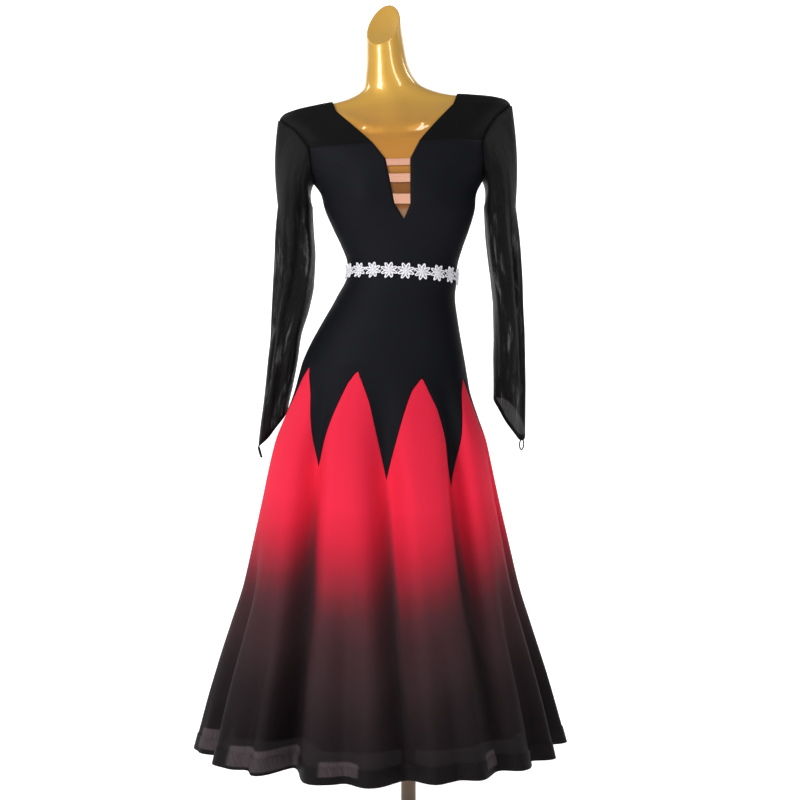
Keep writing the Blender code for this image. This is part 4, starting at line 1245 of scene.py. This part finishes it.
def make_bands():
    for name, place in zip(("upper", "middle", "lower"), BANDS):
        grid = []
        rows, columns = 16, 24
        for i in range(rows + 1):
            z = blend(place[0], place[1], i / rows)
            edge = notch_half(z) - SEAM
            row = []
            for j in range(columns + 1):
                angle = angle_at(notch_middle(z) + edge * (2.0 * j / columns - 1.0), z)
                rib = 0.00022 * math.sin(math.tau * 4.0 * i / rows)
                row.append(cloth_pair(angle, z, 0.0002 + rib, 0.0011))
            grid.append(row)
        piece = cloth_grid("elastic_" + name, grid, grid_uvs(grid))
        finish_piece(piece, BAND, ["neck_band_" + name])
        say_sheet(grid)


def make_yokes():
    for name, side in (("left", -1.0), ("right", 1.0)):
        make_yoke("front_yoke_" + name, "yoke_front_" + name, side, FRONT_NECK)
        make_yoke("back_yoke_" + name, "yoke_back_" + name, side, BACK_NECK, back=True)


def make_yoke(name, node, side, neck, back=False):
    arm = [row for row in ARMHOLE if row[1] >= YOKE_SEAM]
    rows, columns = 28, 32
    grid, dense = [], []
    for i in range(rows + 1):
        rise = 1.0 - (1.0 - i / rows) ** 2
        row, thick = [], []
        for j in range(columns + 1):
            u = j / columns
            z_top = height_at_width(blend(arm[-1][0], neck[-1][0], u))
            z = blend(YOKE_SEAM - SEAM, z_top, rise)
            angle = angle_at(blend(chain_value(arm, z), chain_value(neck, z), u), z)
            if i == rows:
                angle = 90.0
            angle = min(angle, 90.0 - SHOULDER_SEAM_TURN)
            if back:
                angle = min(180.0 - angle, 180.0 - BACK_SEAM_TURN)
            dip = max(edge_dip(i, rows), edge_dip(j, columns))
            row.append(cloth_pair(side * angle, z, WALL - THIN - dip, THIN))
            near_arm = fade(0.34, 0.10, u) * fade(0.0, 0.15, i / rows) * fade(1.0, 0.7, i / rows)
            thick.append(1.0 - 0.9 * near_arm if 1 < j < columns - 1 else 1.0)
        if side < 0.0:
            row.reverse()
            thick.reverse()
        if back:
            row.reverse()
            thick.reverse()
        grid.append(row)
        dense.append(thick)
    piece = cloth_grid(name, grid, grid_uvs(grid), {"dense": dense}, two_sided=False)
    finish_piece(piece, MESH, [node])
    say_sheet(grid)


# Sleeves
def armhole_loop(side, columns):
    """Closed loop of the armhole seam, from the tip down the front to the armpit and back up."""
    half = columns // 2
    lengths = [0.0]
    for (x0, z0), (x1, z1) in zip(ARMHOLE[::-1], ARMHOLE[-2::-1]):
        lengths.append(lengths[-1] + math.hypot(x1 - x0, z1 - z0))
    chain = list(zip(lengths, ARMHOLE[::-1]))
    front = []
    for j in range(half + 1):
        want = lengths[-1] * j / half
        for (l0, p0), (l1, p1) in zip(chain, chain[1:]):
            if want <= l1 + 1e-9:
                t = (want - l0) / (l1 - l0)
                x, z = blend(p0[0], p1[0], t), blend(p0[1], p1[1], t)
                break
        angle = 90.0 if j in (0, half) else angle_at(x, z)
        front.append((angle, z))
    loop = front + [(180.0 - angle, z) for angle, z in front[-2:0:-1]]
    return [(side * angle, z) for angle, z in loop]


def drape_lift(name, degrees, z):
    """How far the drape folds and wrinkles stand out of the smooth sleeve."""
    lift = 0.0
    for top, low, z_top, z_low, width, depth in SLEEVE_DRAPES[name]:
        t = (z_top - z) / (z_top - z_low)
        if not -0.2 < t < 1.2:
            continue
        away = turned(degrees - blend(top, low, t)) / width
        if abs(away) < 3.0:
            ends = fade(-0.15, 0.25, t) * fade(1.2, 0.8, t)
            lift += depth * math.exp(-away * away) * ends
    for turn, height, half, drop, width, depth in SLEEVE_WRINKLES[name]:
        along = turned(degrees - turn) / half
        if abs(along) > 1.0:
            continue
        away = (z - height - drop * along * 0.5) / width
        if abs(away) < 3.0:
            lift += depth * math.exp(-away * away) * (1.0 - along * along) ** 2
    return lift


def make_sleeve(name, side):
    columns, cap_rows, hang_rows = 96, 14, 110
    rows = SLEEVES[name]
    cuff_inner, cuff_outer, point_shift, point_turn, sharpness = CUFFS[name]
    top_z = rows[0][0]
    rings = []
    for lift in (EASE * 0.6, EASE + WALL + SLEEVE_LIFT):
        rings.append([
            cloth_base(angle, z) + outward(cloth_base, angle, z) * lift
            for angle, z in armhole_loop(side, columns)
        ])
    ring = rings[-1]

    def hanging(j, z):
        turn = math.tau * j / columns
        flipped = tuple(rows[::-1])
        outer, inner = table_value(flipped, 1, z), table_value(flipped, 2, z)
        depth, middle_y = table_value(flipped, 3, z), table_value(flipped, 4, z)
        waves = 0.0
        for count, height, twist in SLEEVE_FOLDS:
            waves += height * math.cos(count * turn + math.radians(twist * (1.25 - z) * side))
        waves *= fade(0.0, 0.10, WAVES_START - z)
        lift = drape_lift(name, math.degrees(turn), z)
        half = (outer - inner) / 2.0
        x = (outer + inner) / 2.0 + (half + waves * WAVE_SIDE_SHARE + lift * 0.5) * math.cos(turn)
        y = middle_y - (depth + waves + lift) * math.sin(turn)
        return Vector((SLEEVE_MIDDLE + side * x, y, z))

    for i in range(1, cap_rows):
        t = i / cap_rows
        bulge = math.sin(math.pi * t)
        row = []
        for j in range(columns):
            start, end = ring[j], hanging(j, top_z)
            bow = Vector((side * CAP_RAISE, start.y * CAP_SPREAD, 0.0))
            row.append(start.lerp(end, t) + bow * bulge)
        rings.append(row)
    for i in range(hang_rows + 1):
        t = i / hang_rows
        row = []
        for j in range(columns):
            turn = math.tau * j / columns
            outer_share = (0.5 + 0.5 * math.cos(turn - math.radians(point_turn))) ** sharpness
            z = blend(top_z, blend(cuff_inner, cuff_outer, outer_share), t)
            point = hanging(j, z)
            point.x += side * point_shift * outer_share * fade(CUFF_START, CUFF_START - 0.12, z)
            row.append(point)
        rings.append(row)
    grid = [[(point, point) for point in row] for row in rings]
    if side > 0.0:
        grid = [row[::-1] for row in grid]
    hem_columns = [row_lengths([row[j][0] for row in grid[::-1]])[::-1] for j in range(columns)]
    dense = []
    for i in range(len(grid)):
        line = []
        for j in range(columns):
            drop = hem_columns[j][i]
            line.append(1.0 if drop < CUFF_HEM else 0.0)
        dense.append(line)
    dense[0] = [1.0] * columns
    grid.reverse()
    dense.reverse()
    piece = cloth_grid(
        "mesh_sleeve_" + name, grid, grid_uvs(grid), {"dense": dense}, closed=True, two_sided=False,
    )
    finish_piece(piece, MESH, ["sleeve_" + name])
    say_sheet([row + row[:1] for row in grid])
    return min(rings[-1], key=lambda point: point.z)


LOOPS = {
    # half width, length, how far the end leans towards +X
    "left": (0.0013, 0.021, 0.0055),
    "right": (0.0038, 0.020, -0.0010),
}
LOOP_THICK = 0.0026
LOOP_SEWN = 0.003        # how much of a loop lies on the cuff


def make_finger_loop(name, tip):
    """Elastic loop sewn to the point of the cuff; the left one ends in a knot."""
    half, length, lean = LOOPS[name]
    centre = tip - Vector((0.0, 0.0, length / 2.0 - LOOP_SEWN))
    path = []
    for i in range(33):
        turn = math.tau * (0.035 + 0.93 * i / 32)
        across = half * math.sin(turn) + lean * (0.5 - 0.5 * math.cos(turn))
        spot = Vector((across, 0.0008 * math.sin(3.0 * turn), length / 2.0 * math.cos(turn)))
        path.append(centre + spot)
    points, faces = tube(path, LOOP_THICK / 2.0, 8)
    if name == "left":
        end = path[16] + Vector((0.0, 0.0, 0.0014))
        knot = []
        for i in range(25):
            turn = math.tau * i / 12.0
            spot = Vector((0.0015 * math.cos(turn), 0.0015 * math.sin(turn), 0.0009 * math.cos(turn * 1.5)))
            knot.append(end + spot)
        knot_points, knot_faces = tube(knot, 0.0010, 8)
        faces += [tuple(len(points) + k for k in face) for face in knot_faces]
        points += knot_points
    piece = mesh_object("finger_cord_" + name, points, faces)
    finish_piece(piece, ELASTIC, ["finger_loop_" + name])
    length = row_lengths(path)[-1]


# Dress form and stand
COLLARBONES = (
    # distance from the middle and height of one end, of the other end, width, height of the ridge
    (0.014, 1.356, 0.050, 1.364, 0.0100, 0.0022),
    (0.050, 1.364, 0.088, 1.384, 0.0110, 0.0026),
    (0.088, 1.384, 0.130, 1.408, 0.0120, 0.0020),
    (0.022, 1.348, 0.052, 1.351, 0.0065, -0.0026),
    (0.052, 1.351, 0.090, 1.372, 0.0075, -0.0030),
    (0.000, 1.375, 0.000, 1.420, 0.0230, 0.0050),
)
NOTCH_DEPTH = 0.0030
FORM_RING_SIDES = 128
NECK_FACE = (
    # share of the rim's radius, rise over the rim's plane
    (0.985, 0.0012), (0.955, 0.0017), (0.90, 0.0014), (0.70, -0.0006), (0.40, -0.0024), (0.12, -0.0032),
)


def form_detail(angle, z):
    """Ridges of the collarbones, and the hollows above and between them."""
    point = section_point(FORM, angle, z, FORM_BUST_RAISE)
    if abs(turned(angle)) > 85.0 or z < 1.28:
        return 0.0
    spot = Vector((abs(point.x), z))
    lift = 0.0
    for x_a, z_a, x_b, z_b, width, height in COLLARBONES:
        start, line = Vector((x_a, z_a)), Vector((x_b - x_a, z_b - z_a))
        t = min(1.0, max(0.0, (spot - start).dot(line) / line.length_squared))
        away = (spot - start - line * t).length / width
        if away < 3.0:
            lift += height * math.exp(-away * away)
    hollow = Vector((point.x / 0.010, (z - 1.350) / 0.014)).length
    return lift - NOTCH_DEPTH * math.exp(-hollow * hollow)


def form_spot(angle, z):
    bare = fade(0.0, 1.0, bare_share(angle, z))
    return form_point(angle, z) + outward(form_point, angle, z) * form_detail(angle, z) * bare


def bare_share(angle, z):
    """1 where the form is bare, 0 where the cloth lies on it."""
    point = section_point(FORM, angle, z, FORM_BUST_RAISE)
    neck = chain_value(FRONT_NECK, z) if z > YOKE_SEAM else notch_half(z)
    return (neck + 0.006 - abs(point.x)) / 0.012


def make_form():
    sides = FORM_RING_SIDES
    heights = finer([row[0] for row in FORM if row[0] < NECK_START] + [NECK_START], 0.0048)
    rings = [[form_spot(360.0 * j / sides, z) for j in range(sides)] for z in heights[:-1]]
    neck_rows = 26
    for i in range(neck_rows + 1):
        ring = []
        for j in range(sides):
            foot = form_point(360.0 * j / sides, NECK_START)
            head = neck_cut(form_point(360.0 * j / sides, NECK_TOP))
            height = blend(foot.z, head.z - 0.0016, i / neck_rows)
            point = form_point(360.0 * j / sides, height)
            ring.append(Vector((point.x, point.y, height)))
        rings.append(ring)
    # The slanted cut has a softly rounded edge and a slightly hollow face
    rim = rings[-1]
    centre = sum(rim, Vector()) / sides
    facing = (rim[sides // 4] - rim[0]).cross(rim[sides // 2] - rim[0]).normalized()
    if facing.z < 0.0:
        facing.negate()
    for share, rise in NECK_FACE:
        rings.append([centre + (point - centre) * share + facing * rise for point in rim])
    points = [point for ring in rings for point in ring]
    piece = mesh_object("form_body", points, ring_faces(len(rings), sides))
    finish_piece(piece, GOLD, ["dress_form"])


def round_piece(name, node, profile, sides, material):
    """Turned piece on the pole's axis, from (radius, height) pairs from the bottom up."""
    points = []
    for radius, z in profile:
        for j in range(sides):
            turn = math.tau * j / sides
            points.append(Vector((radius * math.cos(turn), radius * math.sin(turn), z)))
    piece = mesh_object(name, points, ring_faces(len(profile), sides))
    piece.data.set_sharp_from_angle(angle=math.radians(40.0))
    return finish_piece(piece, material, [node])


def make_stand():
    edge = BASE_EDGE
    base = [(BASE_RADIUS - 0.0008, 0.0), (BASE_RADIUS, 0.0008), (BASE_RADIUS, BASE_HEIGHT - edge)]
    for k in range(1, 9):
        turn = math.radians(90.0 * k / 8)
        radius = BASE_RADIUS - edge * (1.0 - math.cos(turn))
        base.append((radius, BASE_HEIGHT - edge * (1.0 - math.sin(turn))))
    base.append((0.030, BASE_HEIGHT))
    round_piece("base_disc", "stand_base", base, 96, BRONZE)
    low, high = BASE_HEIGHT + SEAM, FORM_BOTTOM - SEAM
    pole = ((POLE_RADIUS, low), (POLE_RADIUS, high))
    round_piece("pole_tube", "stand_pole", pole, 64, BRONZE)


# Waist trim
PETALS = 8
PETAL_CORD = 0.00125     # radius of the cord round a petal
PETAL_SPOTS = 16         # spots along that cord
EYE_SPOTS = 18           # spots along a ring of the middle
DOME_SIDES = 10


def flower_parts():
    """One flower in flat coordinates: points (across, up, out), faces, and how deep each point lies, which
    sets its painted shade.
    """
    points, faces, lows = [], [], []

    def add(new_points, new_faces, low):
        base = len(points)
        points.extend(new_points)
        faces.extend(tuple(base + k for k in face) for face in new_faces)
        lows.extend([low] * len(new_points))

    for k in range(PETALS):
        turn = math.tau * (k + 0.5) / PETALS
        along = Vector((math.cos(turn), math.sin(turn), 0.0))
        side = Vector((-math.sin(turn), math.cos(turn), 0.0))
        uneven = 1.0 + 0.05 * math.sin(k * 2.7)
        # The loop of cord round the petal
        loop = []
        for i in range(PETAL_SPOTS):
            t = math.tau * i / PETAL_SPOTS
            reach = 0.0092 + 0.0056 * math.cos(t) * uneven
            wide = 0.0023 * math.sin(t) * (1.0 - 0.25 * math.cos(t))
            loop.append(along * reach + side * wide + UP * (0.0014 + 0.0005 * math.cos(t)))
        spots = []
        for i, point in enumerate(loop):
            ahead = (loop[(i + 1) % PETAL_SPOTS] - loop[i - 1]).normalized()
            spots.append((point, ahead.cross(UP).normalized(), UP))
        add(*closed_cord(spots, PETAL_CORD), 0.0)
        # A vein along the petal
        vein = [along * (0.0050 + 0.0040 * i / 4) + UP * 0.0012 for i in range(5)]
        add(*tube(vein, 0.00070, 5), 0.35)
    # Raised middle: two rings of cord and a knot
    for radius, height, thick in ((0.0046, 0.0020, 0.0011), (0.0024, 0.0027, 0.0011)):
        spots = []
        for i in range(EYE_SPOTS):
            t = math.tau * i / EYE_SPOTS
            out = Vector((math.cos(t), math.sin(t), 0.0))
            wave = 1.0 + 0.08 * math.cos(8.0 * t)
            spots.append((out * radius * wave + UP * height, out, UP))
        add(*closed_cord(spots, thick), 0.2)
    dome_points, dome_faces = [Vector((0.0, 0.0, 0.0043))], []
    for i in range(1, 4):
        spread, height = 0.0016 * math.sin(0.52 * i), 0.0026 + 0.0017 * math.cos(0.52 * i)
        for j in range(DOME_SIDES):
            t = math.tau * j / DOME_SIDES
            dome_points.append(Vector((spread * math.cos(t), spread * math.sin(t), height)))
    dome_faces += [(0, 1 + j, 1 + (j + 1) % DOME_SIDES) for j in range(DOME_SIDES)]
    for i in range(2):
        for j in range(DOME_SIDES):
            a, b = 1 + i * DOME_SIDES + j, 1 + i * DOME_SIDES + (j + 1) % DOME_SIDES
            dome_faces.append((a, a + DOME_SIDES, b + DOME_SIDES, b))
    add(dome_points, dome_faces, 0.0)
    return points, faces, lows


def make_trim():
    """The flowers in a row round the waist, bent to the cloth, joined by two short cords."""
    flat, flower_faces, flower_lows = flower_parts()
    points, faces, lows = [], [], []
    ring = [cloth_base(360.0 * k / 720, TRIM_HEIGHT) for k in range(720)]
    lengths = row_lengths(ring + ring[:1])
    total = lengths[-1]

    def angle_along(length):
        """Angle at that length round the waist from the front."""
        length %= total
        k = next(i for i in range(720) if lengths[i + 1] >= length)
        t = (length - lengths[k]) / (lengths[k + 1] - lengths[k])
        return 0.5 * (k + t)

    def on_cloth(length, up, out):
        angle = angle_along(length)
        base = cloth_base(angle, TRIM_HEIGHT + up)
        return base + outward(cloth_base, angle, TRIM_HEIGHT + up) * (EASE + WALL + TRIM_LAP + out)

    for flower in range(FLOWERS):
        turn = flower_angle(flower + 0.5) % 360.0
        middle = lengths[int(turn * 2.0)] + (turn * 2.0) % 1.0 * total / 720.0
        spin = math.radians(9.0 * math.sin(flower * 1.9))
        base = len(points)
        for point in flat:
            across = point.x * math.cos(spin) - point.y * math.sin(spin)
            up = point.x * math.sin(spin) + point.y * math.cos(spin)
            points.append(on_cloth(middle + across, up, point.z))
        faces.extend(tuple(base + k for k in face) for face in flower_faces)
        lows.extend(flower_lows)
        for rise in (-0.0006, 0.0006):
            path = [on_cloth(middle + total / FLOWERS * (0.46 + 0.02 * i), rise, 0.0007) for i in range(5)]
            cord_points, cord_faces = tube(path, 0.0005, 6)
            base = len(points)
            points.extend(cord_points)
            faces.extend(tuple(base + k for k in face) for face in cord_faces)
            lows.extend([0.2] * len(cord_points))
    piece = mesh_object("flower_trim", points, faces, values={"low": lows})
    finish_piece(piece, FLOWER, ["waist_trim"])


# Floor, light and camera
def make_stage():
    """Pale floor that curves up into a backdrop."""
    look = Look("pale floor", Roughness=0.85, Specular_IOR_Level=0.2, Emission_Strength=0.50)
    look.put("Base Color", (0.93, 0.93, 0.93, 1.0))
    profile = [(-4.0, 0.0), (3.2, 0.0)]
    for k in range(1, 13):
        turn = math.radians(90.0 * k / 12)
        profile.append((3.2 + 1.6 * math.sin(turn), 1.6 * (1.0 - math.cos(turn))))
    profile.append((4.8, 6.0))
    points, faces = [], []
    for y, z in profile:
        points += [Vector((-6.0, y, z - 0.0002)), Vector((6.0, y, z - 0.0002))]
    for i in range(len(profile) - 1):
        faces.append((2 * i, 2 * i + 1, 2 * i + 3, 2 * i + 2))
    floor = mesh_object("floor", points, faces)
    floor.data.materials.append(look.material)


def make_light(name, place, target, size, power):
    lamp = bpy.data.lights.new(name, "AREA")
    lamp.shape = "RECTANGLE"
    lamp.size, lamp.size_y = size
    lamp.energy = power
    light = bpy.data.objects.new(name, lamp)
    light.location = place
    light.rotation_euler = (Vector(target) - Vector(place)).to_track_quat("-Z", "Y").to_euler()
    bpy.context.scene.collection.objects.link(light)


def make_lights():
    world = bpy.data.worlds.new("studio")
    world.use_nodes = True
    background = world.node_tree.nodes["Background"]
    background.inputs["Color"].default_value = (0.80, 0.80, 0.80, 1.0)
    background.inputs["Strength"].default_value = 0.26
    bpy.context.scene.world = world
    middle = (0.0, 0.0, 0.95)
    make_light("soft_left", (-2.4, -2.5, 2.3), middle, (1.0, 2.4), 79.0)
    make_light("strip_right", (1.2, -2.8, 2.3), middle, (0.4, 2.4), 22.0)
    make_light("backdrop_left", (-2.4, 0.9, 3.4), (-1.4, 4.6, 1.2), (1.6, 1.6), 64.0)
    make_light("backdrop_right", (2.4, 0.9, 3.4), (1.4, 4.6, 1.2), (1.6, 1.6), 64.0)


PIXEL = 0.0019           # metres in a pixel of the photograph at the form's middle
DISTANCE = 2.618
CAMERA_PLACE = (-0.016, -DISTANCE, 0.857)


def make_camera():
    lens = bpy.data.cameras.new("camera")
    lens.sensor_width = 36.0
    lens.lens = 36.0 * DISTANCE / (800.0 * PIXEL)
    lens.clip_start = 0.05
    camera = bpy.data.objects.new("camera", lens)
    camera.location = CAMERA_PLACE
    camera.rotation_euler = (math.radians(90.0), 0.0, 0.0)
    bpy.context.scene.collection.objects.link(camera)
    bpy.context.scene.camera = camera


def main():
    make_form()
    make_stand()
    make_bodice()
    make_hips()
    make_yokes()
    make_bands()
    make_godets()
    make_hem_braid()
    make_underskirt()
    for name, side in (("left", -1.0), ("right", 1.0)):
        tip = make_sleeve(name, side)
        make_finger_loop(name, tip)
    make_trim()
    make_stage()
    make_lights()
    make_camera()
    bpy.context.scene.view_settings.view_transform = "Standard"
    bpy.context.view_layer.update()


main()
